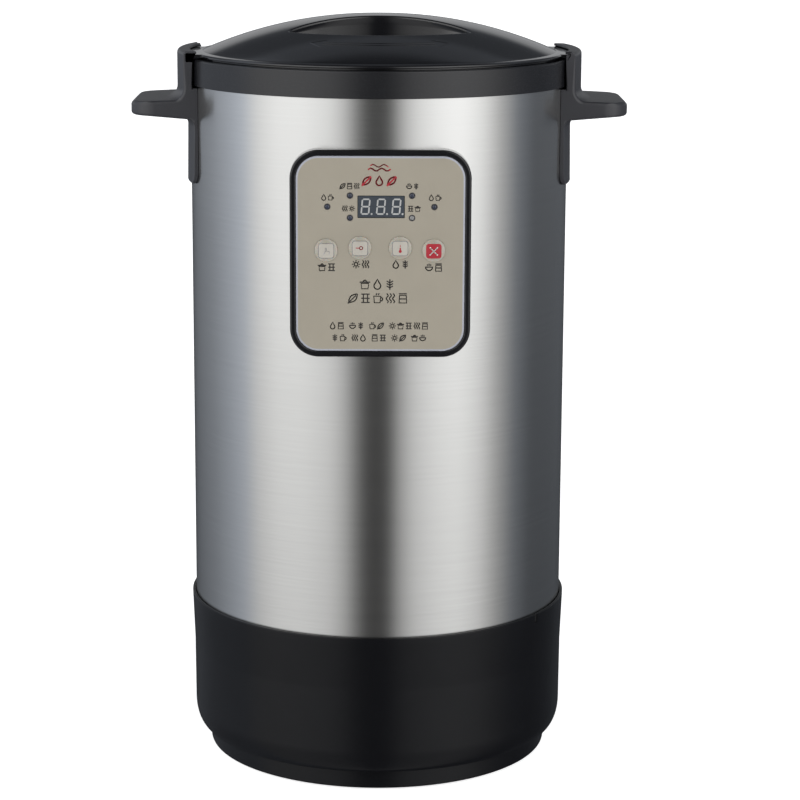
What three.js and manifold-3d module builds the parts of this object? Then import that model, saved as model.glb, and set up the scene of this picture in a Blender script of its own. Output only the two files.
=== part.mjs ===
// Yogurt maker: a tall insulated steel barrel on a plastic base, with a removable pot inside,
// a twist-lock lid between two side handles, and a flat control panel on the front.
// Millimetres, +Z up, front towards -Y, origin on the floor at the centre of the barrel.
import * as THREE from "three";
import { mergeVertices } from "three/addons/utils/BufferGeometryUtils.js";
import Module from "manifold-3d";

const wasm = await Module();
wasm.setup();

// ---------------------------------------------------------------- driving dimensions
const GAP = 0.3; // clearance between neighbouring pieces
const AROUND = 40; // sides of the large round pieces
const AROUND_INNER = 28; // sides of the round pieces hidden inside

const CASING_RADIUS = 125;
const CASING_WALL = 0.8;
const CASING_BOTTOM = 92.3;
const CASING_TOP = 462.6;

const FOOT_RING_RADIUS = 115.5;
const FOOT_RING_BOTTOM = 1;
const FLOOR_BOTTOM = 5; // underside of the bottom cover's floor
const FLOOR_TOP = 7.5;
const BASE_BOTTOM = 14;
const BASE_LIP_RADIUS = 127.5;
const BASE_LIP_TOP = 107.2;
const BASE_WAIST_RADIUS = 125.95;
const BASE_CORNER_TOP = 30; // where the rounded bottom corner starts
const BASE_CORNER_WIDTH = 6.6;
const BASE_WALL_INSIDE = 123.3;
const BASE_RING_INSIDE = 101;
const POST_TOP = 88.5;
const POST_CIRCLE = 108; // radius of the circle that the four screw posts stand on

const COLLAR_RADIUS = 126.6;
const COLLAR_BOTTOM = 453.9;
const COLLAR_TOP = 471;
const POT_LEDGE = 465.6;
const POT_RADIUS = 105;
const POT_WALL = 0.8;
const POT_BOTTOM = 112;
const POT_FLANGE_TOP = 467;
const POT_FLANGE_RADIUS = 117.5;
const POT_CORNER = 18;

const LID_APEX = 498.4;
const LID_RIM = 474.6;
const LID_RIM_RADIUS = 117;
const LID_DOME_POWER = 2.13; // a little fuller than a parabola
const LID_WALL = 2.6;
const LID_LIP_RADIUS = 123;
const LID_LIP_BOTTOM = 472.2;
const RECESS_FLOOR = 478;
const RECESS_TOP = 498;
const RECESS_WALL = 2;
const RECESS_OUTSIDE = { floor: 70.5, top: 75.6 }; // the wells' outer wall, round the lid's axis
const GRIP_HALF_WIDTH = 17; // at the middle of the bar, which widens towards its ends
const GRIP_SIDE_RADIUS = { floor: 88.5, top: 100 }; // the bar's hollowed sides
const STUD_BOSS = { radius: 8, bottom: 475.1 };
const EAR_BOTTOM = 471.4;
const EAR_TOP = 474.2;
const EAR_RADIUS = 129.5;
const EAR_STOP_END = -30.5; // the end near the slot's stop
const EAR_OPEN_END = 41; // the end that shows in the slot's open end

const HANDLE_HALF_WIDTH = 42;
const HANDLE_REACH = 162.4;
const TAIL_BOTTOM = 389.5;
const TAIL_RADIUS = 127.3;
const POST_INSIDE = 127.3;
const POST_OUTSIDE = 133.7;
const SLOT_FLOOR = 470;
const SLOT_ROOF = 474.6;
const SLOT_OUTSIDE = 131.8;
const HOOK_TOP = 476.3;
const HOOK_INSIDE = 125.5;
const HOOK_STOP_WIDTH = 8;
const GRIP_TIP_CORNER = 16;
const GRIP_BOTTOM = 426; // where the fillet under the grip leaves the tail
const GRIP_UNDERSIDE = { root: 432.2, tip: 434.6 };
const GRIP_UPPER_SIDE = { tip: 443.7, root: 444.8 };
const GRIP_FILLET_TOP = 452;
const HANDLE_SCREW_HEIGHT = 440;
const HANDLE_SCREW_OFFSET = 24;

const PANEL_FRONT = -128.5; // the flat face of the panel frame
const PANEL_CENTRE = { x: 1, z: 357.6 };
const PANEL_WIDTH = 113.1;
const PANEL_HEIGHT = 130.5;
const PANEL_CORNER = 18;
const PANEL_BORDER = 3.6;
const OVERLAY_FRONT = -128.2;
const OVERLAY_BACK = -127;
const WINDOW_CUT = { halfWidth: 46, bottom: 309, top: 408 }; // opening in the casing behind the panel
const BOARD_FRONT = -117.6;
const BOARD_THICKNESS = 1.6;
const DISPLAY = { x: 1.4, z: 387.4, width: 29, height: 13.6 };
const BUTTON_RADIUS = 7.3;
const BUTTON_TOP = -130.2;
const LED_RADIUS = 1.5;

const BUTTONS = {
  button_function: [-32.8, 360.1],
  button_time: [-11.7, 361.7],
  button_temperature: [13.4, 361.7],
  button_cancel: [34.3, 360.1],
};
const LEDS = [
  [-32.1, 387.4],
  [-18, 394.4],
  [-18, 380.5],
  [20.6, 394.4],
  [20.6, 380.5],
  [34.5, 387.4],
];

const INLET_HEIGHT = 46;
const INLET_FACE = 130.2; // the rear face of the inlet's flange
const INLET_PAD = 128.2;
const INLET_BODY = { halfWidth: 13.5, halfHeight: 9.8, depth: 24 };
const INLET_CAVITY = { halfWidth: 12.2, halfHeight: 8.1, depth: 17 };

// ---------------------------------------------------------------- solids
// A closed geometry as a solid that can be joined and cut.
function solidOf(geometry) {
  const bare = geometry.index ? geometry.toNonIndexed() : geometry.clone();
  bare.deleteAttribute("normal");
  bare.deleteAttribute("uv");
  const merged = mergeVertices(bare, 1e-4);
  const corners = merged.index.array;
  const faces = [];
  for (let i = 0; i < corners.length; i += 3) {
    const [a, b, c] = corners.slice(i, i + 3);
    if (a !== b && b !== c && c !== a) faces.push(a, b, c);
  }
  const vertProperties = merged.attributes.position.array;
  return new wasm.Manifold(new wasm.Mesh({ numProp: 3, vertProperties, triVerts: new Uint32Array(faces) }));
}

function geometryOf(solid) {
  const { vertProperties, triVerts } = solid.getMesh();
  const geometry = new THREE.BufferGeometry();
  geometry.setAttribute("position", new THREE.BufferAttribute(new Float32Array(vertProperties), 3));
  geometry.setIndex(new THREE.BufferAttribute(new Uint32Array(triVerts), 1));
  geometry.computeVertexNormals();
  return geometry;
}

const joined = (...solids) => solids.reduce((sum, next) => sum.add(next));
const cut = (solid, ...tools) => tools.reduce((rest, tool) => rest.subtract(tool), solid);

// A profile of [radius, height] points turned about Z. It closes on itself, or starts and ends on the axis.
function turned(profile, sides = AROUND) {
  const area = profile.reduce((sum, [r, h], i) => {
    const [nextR, nextH] = profile[(i + 1) % profile.length];
    return sum + r * nextH - nextR * h;
  }, 0);
  const points = (area > 0 ? profile : [...profile].reverse()).map(([r, h]) => new THREE.Vector2(r, h));
  const onAxis = points.some((p) => p.x === 0);
  if (onAxis) {
    while (!(points[0].x === 0 && points[points.length - 1].x === 0)) points.push(points.shift());
  } else {
    points.push(points[0].clone());
  }
  return solidOf(new THREE.LatheGeometry(points, sides).rotateX(Math.PI / 2));
}

function box(x0, x1, y0, y1, z0, z1) {
  const geometry = new THREE.BoxGeometry(x1 - x0, y1 - y0, z1 - z0);
  return solidOf(geometry.translate((x0 + x1) / 2, (y0 + y1) / 2, (z0 + z1) / 2));
}

function uprightRod(radius, z0, z1, x = 0, y = 0, sides = 16) {
  const geometry = new THREE.CylinderGeometry(radius, radius, z1 - z0, sides).rotateX(Math.PI / 2);
  return solidOf(geometry.translate(x, y, (z0 + z1) / 2));
}

function rodAlongX(radius, x0, x1, y, z, sides = 12) {
  const geometry = new THREE.CylinderGeometry(radius, radius, x1 - x0, sides).rotateZ(Math.PI / 2);
  return solidOf(geometry.translate((x0 + x1) / 2, y, z));
}

function rodAlongY(radius, y0, y1, x, z, sides = 12) {
  const geometry = new THREE.CylinderGeometry(radius, radius, y1 - y0, sides);
  return solidOf(geometry.translate(x, (y0 + y1) / 2, z));
}

// An outline in X and Y, extruded from z0 to z1.
function upright(shape, z0, z1, curveSegments = 8) {
  const geometry = new THREE.ExtrudeGeometry(shape, { depth: z1 - z0, bevelEnabled: false, curveSegments });
  return solidOf(geometry.translate(0, 0, z0));
}

// An outline in X and Z, extruded from the front face y0 back to y1.
function facing(shape, y0, y1, curveSegments = 6) {
  const geometry = new THREE.ExtrudeGeometry(shape, { depth: y1 - y0, bevelEnabled: false, curveSegments });
  return solidOf(geometry.rotateX(Math.PI / 2).translate(0, y1, 0));
}

function roundedRectangle(centreX, centreY, width, height, radius) {
  const [left, right] = [centreX - width / 2, centreX + width / 2];
  const [bottom, top] = [centreY - height / 2, centreY + height / 2];
  const shape = new THREE.Shape();
  shape.absarc(right - radius, bottom + radius, radius, -Math.PI / 2, 0);
  shape.absarc(right - radius, top - radius, radius, 0, Math.PI / 2);
  shape.absarc(left + radius, top - radius, radius, Math.PI / 2, Math.PI);
  shape.absarc(left + radius, bottom + radius, radius, Math.PI, 1.5 * Math.PI);
  shape.closePath();
  return shape;
}

// A piece of a ring about Z on the +X side, with its two ends cut off at y = -halfWidth and +halfWidth.
function ringPiece(inside, outside, halfWidth, z0, z1) {
  const outerAngle = Math.asin(halfWidth / outside);
  const innerAngle = Math.asin(halfWidth / inside);
  const shape = new THREE.Shape();
  shape.absarc(0, 0, outside, -outerAngle, outerAngle);
  shape.absarc(0, 0, inside, innerAngle, -innerAngle, true);
  shape.closePath();
  return upright(shape, z0, z1, 10);
}

// Points along an elliptic arc, in degrees, as [radius, height] pairs.
function arc(centreR, centreH, radiusR, radiusH, from, to, steps) {
  return Array.from({ length: steps + 1 }, (_, i) => {
    const angle = THREE.MathUtils.degToRad(from + ((to - from) * i) / steps);
    return [centreR + radiusR * Math.cos(angle), centreH + radiusH * Math.sin(angle)];
  });
}

const ringSpots = (radius, count, firstDegrees) =>
  Array.from({ length: count }, (_, i) => {
    const angle = THREE.MathUtils.degToRad(firstDegrees + (360 * i) / count);
    return [radius * Math.cos(angle), radius * Math.sin(angle)];
  });

// ---------------------------------------------------------------- finishes
const finishes = {
  steel: { color: 0xb4b4b2, roughness: 0.32, metalness: 1 },
  glossBlack: { color: 0x0b0b0d, roughness: 0.12, metalness: 0 },
  satinBlack: { color: 0x1d1e21, roughness: 0.42, metalness: 0 },
  champagne: { color: 0xaca291, roughness: 0.4, metalness: 0.2 },
  smoked: { color: 0x23262c, roughness: 0.1, metalness: 0 },
  frosted: { color: 0xd9d6cf, roughness: 0.35, metalness: 0 },
  led: { color: 0x3f4f86, roughness: 0.2, metalness: 0 },
  rubber: { color: 0x1a1a1a, roughness: 0.85, metalness: 0 },
  silicone: { color: 0xe4e2dc, roughness: 0.6, metalness: 0 },
  foam: { color: 0xe6dcc0, roughness: 0.95, metalness: 0 },
  board: { color: 0x1f6b3a, roughness: 0.5, metalness: 0 },
  aluminium: { color: 0xc2c4c6, roughness: 0.45, metalness: 1 },
  zinc: { color: 0xb8babd, roughness: 0.4, metalness: 1 },
  brass: { color: 0xc9a24a, roughness: 0.35, metalness: 1 },
  wire: { color: 0xb5332b, roughness: 0.5, metalness: 0 },
};

const yogurtMaker = new THREE.Group();

function addPiece(name, solid, finish, turnDegrees = 0) {
  const mesh = new THREE.Mesh(geometryOf(solid), new THREE.MeshStandardMaterial(finishes[finish]));
  mesh.name = name;
  mesh.rotation.z = THREE.MathUtils.degToRad(turnDegrees);
  yogurtMaker.add(mesh);
}

// ---------------------------------------------------------------- base
const postSpots = ringSpots(POST_CIRCLE, 4, 45);

function baseHousing() {
  const cornerHeight = BASE_CORNER_TOP - BASE_BOTTOM;
  const cornerCentre = BASE_WAIST_RADIUS - BASE_CORNER_WIDTH;
  const wall = turned([
    [BASE_RING_INSIDE, BASE_BOTTOM],
    [BASE_RING_INSIDE, BASE_BOTTOM + 2.5],
    [118, BASE_BOTTOM + 2.5],
    [BASE_WALL_INSIDE, BASE_CORNER_TOP],
    [BASE_WALL_INSIDE, CASING_BOTTOM - GAP],
    [CASING_RADIUS + GAP, CASING_BOTTOM - GAP],
    [CASING_RADIUS + GAP, BASE_LIP_TOP - 0.6],
    [CASING_RADIUS + 0.9, BASE_LIP_TOP],
    [BASE_LIP_RADIUS - 0.6, BASE_LIP_TOP],
    [BASE_LIP_RADIUS, BASE_LIP_TOP - 1],
    [BASE_LIP_RADIUS - 0.1, BASE_LIP_TOP - 4],
    [BASE_WAIST_RADIUS + 0.25, 72],
    ...arc(cornerCentre, BASE_CORNER_TOP, BASE_CORNER_WIDTH, cornerHeight, 0, -90, 5),
  ]);
  const posts = postSpots.map(([x, y]) => uprightRod(5, BASE_BOTTOM + 1, POST_TOP, x, y, 12));
  const screwHoles = postSpots.map(([x, y]) => uprightRod(1.95, BASE_BOTTOM - 1, 34, x, y, 10));
  const padHalf = { width: 25, height: 19 };
  const pad = box(
    -padHalf.width, padHalf.width, 114, INLET_PAD, INLET_HEIGHT - padHalf.height, INLET_HEIGHT + padHalf.height,
  );
  const padRoom = box(
    -padHalf.width + 2.5, padHalf.width - 2.5, 100, INLET_PAD - 2.5,
    INLET_HEIGHT - padHalf.height + 2.5, INLET_HEIGHT + padHalf.height - 2.5,
  );
  const { halfWidth, halfHeight } = INLET_BODY;
  const inletHole = box(
    -halfWidth - GAP, halfWidth + GAP, 100, 140, INLET_HEIGHT - halfHeight - GAP, INLET_HEIGHT + halfHeight + GAP,
  );
  const notchAngle = THREE.MathUtils.degToRad(-34); // a small relief in the lip, right of the front
  const notch = uprightRod(
    1.8, BASE_LIP_TOP - 6, BASE_LIP_TOP + 1,
    BASE_LIP_RADIUS * Math.cos(notchAngle), BASE_LIP_RADIUS * Math.sin(notchAngle), 8,
  );
  return cut(joined(wall, pad, ...posts), padRoom, inletHole, notch, ...screwHoles);
}

function bottomCover() {
  const tray = turned([
    [0, FLOOR_BOTTOM],
    [112.6, FLOOR_BOTTOM],
    [113.2, FOOT_RING_BOTTOM],
    [FOOT_RING_RADIUS - 0.6, FOOT_RING_BOTTOM],
    [FOOT_RING_RADIUS, FOOT_RING_BOTTOM + 0.8],
    [FOOT_RING_RADIUS, BASE_BOTTOM - GAP],
    [FOOT_RING_RADIUS - 2.5, BASE_BOTTOM - GAP],
    [FOOT_RING_RADIUS - 2.5, FLOOR_TOP],
    [0, FLOOR_TOP],
  ]);
  const bosses = postSpots.map(([x, y]) => uprightRod(5.4, FLOOR_TOP - 1, BASE_BOTTOM - GAP, x, y, 12));
  const standoffs = boardStandoffs.map(([x, y]) => uprightRod(3, FLOOR_TOP - 1, 21.7, x, y, 8));
  const screwHoles = postSpots.flatMap(([x, y]) => [
    uprightRod(3.8, FLOOR_BOTTOM - 1, 9, x, y, 12),
    uprightRod(1.95, 8, BASE_BOTTOM, x, y, 10),
  ]);
  const vents = [-2, -1, 0, 1, 2].map((i) => box(-22, 22, 9 * i - 2, 9 * i + 2, 0, FLOOR_TOP + 1));
  return cut(joined(tray, ...bosses, ...standoffs), ...screwHoles, ...vents);
}

function rubberFoot([x, y]) {
  const foot = turned([[0, 0], [9, 0], [10, 1.2], [10, FLOOR_BOTTOM - GAP], [0, FLOOR_BOTTOM - GAP]], 20);
  return foot.translate([x, y, 0]);
}

function bottomScrew([x, y]) {
  const head = uprightRod(3.4, 5.6, 8.6, x, y, 12);
  return joined(head, uprightRod(1.6, 8, 30, x, y, 10));
}

// ---------------------------------------------------------------- barrel
function outerShell() {
  const inside = CASING_RADIUS - CASING_WALL;
  const tube = turned([
    [inside, CASING_BOTTOM],
    [CASING_RADIUS, CASING_BOTTOM],
    [CASING_RADIUS, CASING_TOP],
    [inside, CASING_TOP],
  ]);
  const { halfWidth, bottom, top } = WINDOW_CUT;
  const window = box(-halfWidth, halfWidth, -140, -80, bottom, top);
  const screwHoles = [-1, 1].map((side) =>
    rodAlongX(2.3, -140, 140, side * HANDLE_SCREW_OFFSET, HANDLE_SCREW_HEIGHT, 10),
  );
  return cut(tube, window, ...screwHoles);
}

function topCollar() {
  const skirtInside = CASING_RADIUS + 0.35;
  return turned([
    [skirtInside, COLLAR_BOTTOM],
    [COLLAR_RADIUS, COLLAR_BOTTOM],
    [COLLAR_RADIUS, COLLAR_TOP - 0.9],
    [COLLAR_RADIUS - 0.9, COLLAR_TOP],
    [122.2, COLLAR_TOP],
    [122.2, POT_LEDGE],
    [106, POT_LEDGE],
    [106, POT_LEDGE - 2.5],
    [skirtInside, POT_LEDGE - 2.5],
  ]);
}

function innerPot() {
  const inside = POT_RADIUS - POT_WALL;
  const flangeBottom = POT_FLANGE_TOP - 1;
  const corner = POT_RADIUS - POT_CORNER;
  return turned([
    [0, POT_BOTTOM],
    ...arc(corner, POT_BOTTOM + POT_CORNER, POT_CORNER, POT_CORNER, -90, 0, 4),
    [POT_RADIUS, flangeBottom],
    [POT_FLANGE_RADIUS, flangeBottom],
    [POT_FLANGE_RADIUS, POT_FLANGE_TOP],
    [inside, POT_FLANGE_TOP],
    ...arc(corner, POT_BOTTOM + POT_CORNER, POT_CORNER - POT_WALL, POT_CORNER - POT_WALL, 0, -90, 4),
    [0, POT_BOTTOM + POT_WALL],
  ]);
}

const sleeve = (inside, outside, z0, z1) =>
  turned([[inside, z0], [outside, z0], [outside, z1], [inside, z1]], AROUND_INNER);

function supportPlate() {
  const plate = turned([[14, POST_TOP + GAP], [119, POST_TOP + GAP], [119, 90], [14, 90]], AROUND_INNER);
  const harnessNotch = box(10, 30, -125, -105, 80, 95);
  return cut(plate, harnessNotch);
}

// A cast plate under the pot, standing on a skirt, with a hole for the sensor.
function heatingPlate() {
  return turned(
    [[8, 106], [80, 106], [80, 90.4], [83, 90.4], [83, 111.6], [8, 111.6]],
    AROUND_INNER,
  );
}

function temperatureSensor() {
  return turned([[0, 92], [9, 92], [9, 94], [6, 94], [6, 111.6], [0, 111.6]], 16);
}

// ---------------------------------------------------------------- handles
function handle() {
  const tail = ringPiece(CASING_RADIUS + 0.45, TAIL_RADIUS, HANDLE_HALF_WIDTH, TAIL_BOTTOM, COLLAR_BOTTOM - 1.5);
  const post = ringPiece(POST_INSIDE, POST_OUTSIDE, HANDLE_HALF_WIDTH, GRIP_BOTTOM + 2, SLOT_FLOOR);
  const slotWall = ringPiece(SLOT_OUTSIDE, POST_OUTSIDE, HANDLE_HALF_WIDTH, SLOT_FLOOR, SLOT_ROOF);
  const stopEnd = -HANDLE_HALF_WIDTH + HOOK_STOP_WIDTH;
  const stop = ringPiece(POST_INSIDE, POST_OUTSIDE, HANDLE_HALF_WIDTH, SLOT_FLOOR, SLOT_ROOF).intersect(
    box(100, 150, -HANDLE_HALF_WIDTH - 1, stopEnd, SLOT_FLOOR - 1, SLOT_ROOF + 1),
  );
  const roof = ringPiece(HOOK_INSIDE, POST_OUTSIDE, HANDLE_HALF_WIDTH, SLOT_ROOF, HOOK_TOP);

  // The grip seen from the front: a ledge that thins towards its tip, with fillets into the post and the tail.
  const side = new THREE.Shape();
  side.moveTo(120, GRIP_BOTTOM);
  side.lineTo(TAIL_RADIUS, GRIP_BOTTOM);
  side.quadraticCurveTo(TAIL_RADIUS + 0.3, GRIP_UNDERSIDE.root - 0.3, 134, GRIP_UNDERSIDE.root);
  side.lineTo(HANDLE_REACH - 1.7, GRIP_UNDERSIDE.tip);
  side.quadraticCurveTo(HANDLE_REACH, GRIP_UNDERSIDE.tip + 0.1, HANDLE_REACH, GRIP_UNDERSIDE.tip + 1.9);
  side.lineTo(HANDLE_REACH, GRIP_UPPER_SIDE.tip - 2);
  side.quadraticCurveTo(HANDLE_REACH, GRIP_UPPER_SIDE.tip - 0.1, HANDLE_REACH - 2, GRIP_UPPER_SIDE.tip);
  side.lineTo(POST_OUTSIDE + 7.7, GRIP_UPPER_SIDE.root);
  side.quadraticCurveTo(POST_OUTSIDE, GRIP_UPPER_SIDE.root + 0.5, POST_OUTSIDE, GRIP_FILLET_TOP);
  side.lineTo(120, GRIP_FILLET_TOP);
  side.closePath();
  const profile = facing(side, -HANDLE_HALF_WIDTH, HANDLE_HALF_WIDTH, 5);
  const plan = roundedRectangle(HANDLE_REACH - 40, 0, 80, 2 * HANDLE_HALF_WIDTH, GRIP_TIP_CORNER);
  const ledge = cut(profile.intersect(upright(plan, 400, 480, 6)), uprightRod(POST_INSIDE, 400, 480, 0, 0, 96));

  const screwHoles = [-1, 1].map((sideOf) =>
    rodAlongX(1.95, 110, 132, sideOf * HANDLE_SCREW_OFFSET, HANDLE_SCREW_HEIGHT, 10),
  );
  const corners = roundedOutlineAlongX(HANDLE_HALF_WIDTH, TAIL_BOTTOM, HOOK_TOP + 10, 6);
  return cut(joined(tail, post, slotWall, stop, roof, ledge).intersect(corners), ...screwHoles);
}

// A tall rounded slab whose bottom corners round off the tail of a handle.
function roundedOutlineAlongX(halfWidth, bottom, top, radius) {
  const shape = roundedRectangle(0, (bottom + top) / 2, 2 * halfWidth, top - bottom, radius);
  const geometry = new THREE.ExtrudeGeometry(shape, { depth: 80, bevelEnabled: false, curveSegments: 4 });
  return solidOf(geometry.rotateX(Math.PI / 2).rotateZ(Math.PI / 2).translate(100, 0, 0));
}

const handleBracket = () =>
  cut(
    ringPiece(121.8, 123.7, 36, 428, 452),
    ...[-1, 1].map((side) => rodAlongX(1.95, 110, 130, side * HANDLE_SCREW_OFFSET, HANDLE_SCREW_HEIGHT, 10)),
  );

function handleScrew(side) {
  const y = side * HANDLE_SCREW_OFFSET;
  const headFace = 118.3;
  return joined(
    rodAlongX(3.2, headFace - 2.6, headFace, y, HANDLE_SCREW_HEIGHT, 12),
    rodAlongX(1.6, headFace - 1, 131, y, HANDLE_SCREW_HEIGHT, 10),
  );
}

// ---------------------------------------------------------------- control panel
const panelOutline = (inset) =>
  roundedRectangle(
    PANEL_CENTRE.x, PANEL_CENTRE.z, PANEL_WIDTH - 2 * inset, PANEL_HEIGHT - 2 * inset, PANEL_CORNER - inset,
  );

function panelFrame() {
  const shelfFront = OVERLAY_BACK + GAP;
  const wall = cut(facing(panelOutline(0), PANEL_FRONT, -105), facing(panelOutline(PANEL_BORDER), -140, -100));
  const shelf = cut(
    facing(panelOutline(PANEL_BORDER - 0.5), shelfFront, shelfFront + 1.5),
    facing(panelOutline(9), -140, -100),
  );
  return cut(joined(wall, shelf), uprightRod(CASING_RADIUS + GAP, 200, 460, 0, 0, 112));
}

function panelOverlay() {
  const { x, z, width, height } = DISPLAY;
  const plate = facing(panelOutline(PANEL_BORDER + GAP), OVERLAY_FRONT, OVERLAY_BACK);
  const window = box(x - width / 2 - GAP, x + width / 2 + GAP, -140, -100, z - height / 2 - GAP, z + height / 2 + GAP);
  const buttonHoles = Object.values(BUTTONS).map(([bx, bz]) =>
    rodAlongY(BUTTON_RADIUS + GAP, -140, -100, bx, bz, 20),
  );
  const ledHoles = LEDS.map(([lx, lz]) => rodAlongY(LED_RADIUS + GAP, -140, -100, lx, lz));
  return cut(plate, window, ...buttonHoles, ...ledHoles);
}

function displayModule() {
  const { x, z, width, height } = DISPLAY;
  return box(x - width / 2, x + width / 2, -127.9, BOARD_FRONT - GAP, z - height / 2, z + height / 2);
}

const controlBoard = () =>
  box(-44.5, 44.5, BOARD_FRONT, BOARD_FRONT + BOARD_THICKNESS, WINDOW_CUT.bottom + 3, WINDOW_CUT.top - 3);

const led = ([x, z]) => rodAlongY(LED_RADIUS, -128.5, BOARD_FRONT - GAP, x, z, 10);

// A domed cap held behind the overlay by a flange, with a short stem that reaches its switch.
function button([x, z]) {
  const flange = BUTTON_RADIUS + 1.3;
  const depths = turned(
    [
      [0, -BUTTON_TOP],
      [3.6, 129.9],
      [6, 129.3],
      [BUTTON_RADIUS, 128.4],
      [BUTTON_RADIUS, 126.6],
      [flange, 126.6],
      [flange, 125.4],
      [2, 125.4],
      [2, 122.7],
      [0, 122.7],
    ],
    16,
  );
  return depths.rotate([90, 0, 0]).translate([x, 0, z]);
}

const tactSwitch = ([x, z]) => box(x - 3, x + 3, -121.9, BOARD_FRONT - GAP, z - 3, z + 3);

// ---------------------------------------------------------------- electrics
const boardStandoffs = [-1, 1].flatMap((sx) => [-1, 1].map((sy) => [sx * 44, sy * 28 - 10]));

const powerBoard = () => box(-50, 50, -44, 24, 22, 23.6);
const transformer = () => box(-34, -6, -36, -12, 23.9, 45);
const relay = () => box(12, 31, -36, -20, 23.9, 39);

function inletSocket() {
  const { halfWidth, halfHeight, depth } = INLET_BODY;
  const flange = box(
    -16.5, 16.5, INLET_PAD + GAP, INLET_FACE, INLET_HEIGHT - 12.3, INLET_HEIGHT + 12.3,
  );
  const body = box(
    -halfWidth, halfWidth, INLET_FACE - depth, INLET_PAD + 1, INLET_HEIGHT - halfHeight, INLET_HEIGHT + halfHeight,
  );
  const cavity = box(
    -INLET_CAVITY.halfWidth, INLET_CAVITY.halfWidth, INLET_FACE - INLET_CAVITY.depth, INLET_FACE + 1,
    INLET_HEIGHT - INLET_CAVITY.halfHeight, INLET_HEIGHT + INLET_CAVITY.halfHeight,
  );
  const pinHoles = Object.values(INLET_PINS).map(([x, z]) => inletBlade([x, z], GAP, 90, 140));
  return cut(joined(flange, body), cavity, ...pinHoles);
}

const INLET_PINS = {
  inlet_pin_line: [-7, INLET_HEIGHT - 1],
  inlet_pin_neutral: [7, INLET_HEIGHT - 1],
  inlet_pin_earth: [0, INLET_HEIGHT + 4.2],
};

const inletBlade = ([x, z], grow, y0, y1) => box(x - 1 - grow, x + 1 + grow, y0, y1, z - 2 - grow, z + 2 + grow);

// The ribbon of wires from the power board up the inside of the casing to the control board.
function wireHarness() {
  const route = new THREE.CatmullRomCurve3(
    [
      [20, -30, 48],
      [20, -70, 54],
      [20, -108, 72],
      [20, -117.5, 100],
      [20, -118.2, 160],
      [20, -118.2, 240],
      [20, -118.2, 300],
    ].map((p) => new THREE.Vector3(...p)),
  );
  const section = new THREE.Shape().absarc(0, 0, 1.8, 0, 2 * Math.PI);
  return solidOf(new THREE.ExtrudeGeometry(section, { steps: 16, curveSegments: 3, extrudePath: route }));
}

// ---------------------------------------------------------------- lid
const domeHeight = (r) => LID_RIM + (LID_APEX - LID_RIM) * (1 - (r / LID_RIM_RADIUS) ** LID_DOME_POWER);

// The dome's profile from the axis outwards, on rings that all its layers share, lowered by a wall's thickness.
const DOME_RINGS = [0, 20, 38, 54, 68, 80, 92, 103, 112, 116.6];
const domePoints = (outermost, drop) =>
  DOME_RINGS.filter((r) => r <= outermost).map((r) => [r, domeHeight(r) - drop]);

function lidCover() {
  const inside = domePoints(112, LID_WALL);
  const shell = turned([
    ...domePoints(LID_RIM_RADIUS, 0),
    [118.2, 474.4],
    [121.6, 474.1],
    [LID_LIP_RADIUS, 473.3],
    [LID_LIP_RADIUS, LID_LIP_BOTTOM],
    [121, LID_LIP_BOTTOM],
    [121, 468],
    [118.6, 468],
    [118.6, 472],
    ...inside.reverse(),
  ]);
  const wholeDome = turned([...domePoints(80, 0), [80, 460], [0, 460]]);
  const boss = wholeDome.intersect(uprightRod(STUD_BOSS.radius, STUD_BOSS.bottom, 510));
  const linings = [-1, 1].map((side) => wholeDome.intersect(fingerWell(side, RECESS_WALL)));
  const ear = ringPiece(112, EAR_RADIUS, EAR_OPEN_END, EAR_BOTTOM, EAR_TOP).intersect(
    box(100, 150, EAR_STOP_END, EAR_OPEN_END + 1, EAR_BOTTOM - 1, EAR_TOP + 1),
  );
  const innerClearance = turned([[0, 460], [118.5, 460], [118.5, 471.9], [0, 471.9]]);
  const ears = cut(joined(ear, ear.rotate([0, 0, 180])), innerClearance);
  const wells = [-1, 1].map((side) => fingerWell(side, 0));
  return cut(joined(shell, ears, boss, ...linings), ...wells);
}

// The lens-shaped well for the fingers on one side of the grip bar, grown by a wall's thickness for its lining.
function fingerWell(side, grow) {
  const [bottom, top] = [RECESS_FLOOR - grow, 510];
  const lean = (radii) => (radii.top - radii.floor) / (RECESS_TOP - RECESS_FLOOR);
  const cone = (radii, sides) => {
    const radiusAt = (z) => radii.floor + grow + lean(radii) * (z - RECESS_FLOOR);
    return turned([[0, bottom], [radiusAt(bottom), bottom], [radiusAt(top), top], [0, top]], sides);
  };
  const barCentre = -(GRIP_HALF_WIDTH + GRIP_SIDE_RADIUS.top);
  const lens = cone(RECESS_OUTSIDE, AROUND).intersect(cone(GRIP_SIDE_RADIUS, 56).translate([0, barCentre, 0]));
  return side < 0 ? lens : lens.rotate([0, 0, 180]);
}

const lidLiner = () =>
  turned([[3.4, 470.3], [118.1, 470.3], [118.1, 471.6], [3.4, 471.6]], AROUND_INNER);
const lidInsulation = () => turned([[9, 471.9], [104, 471.9], [104, 475.6], [9, 475.6]], AROUND_INNER);

// The shoulder screw that the inner lid hangs on, free to turn.
function lidStud() {
  return turned([[0, 462], [6, 462], [6, 464.2], [3, 464.2], [3, 474.8], [0, 474.8]], 16);
}

function innerLid() {
  return turned([
    [3.4, 464.6],
    [12, 464.6],
    [14, 466],
    [100, 466],
    [104, 469],
    [114.5, 469],
    [114.5, 470],
    [103, 470],
    [99, 467.2],
    [3.4, 467.2],
  ]);
}

const lidGasket = () =>
  turned([[107, 467.4], [112, 467.3], [113.5, 467.9], [113.5, 468.7], [107, 468.7]], AROUND);

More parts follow.
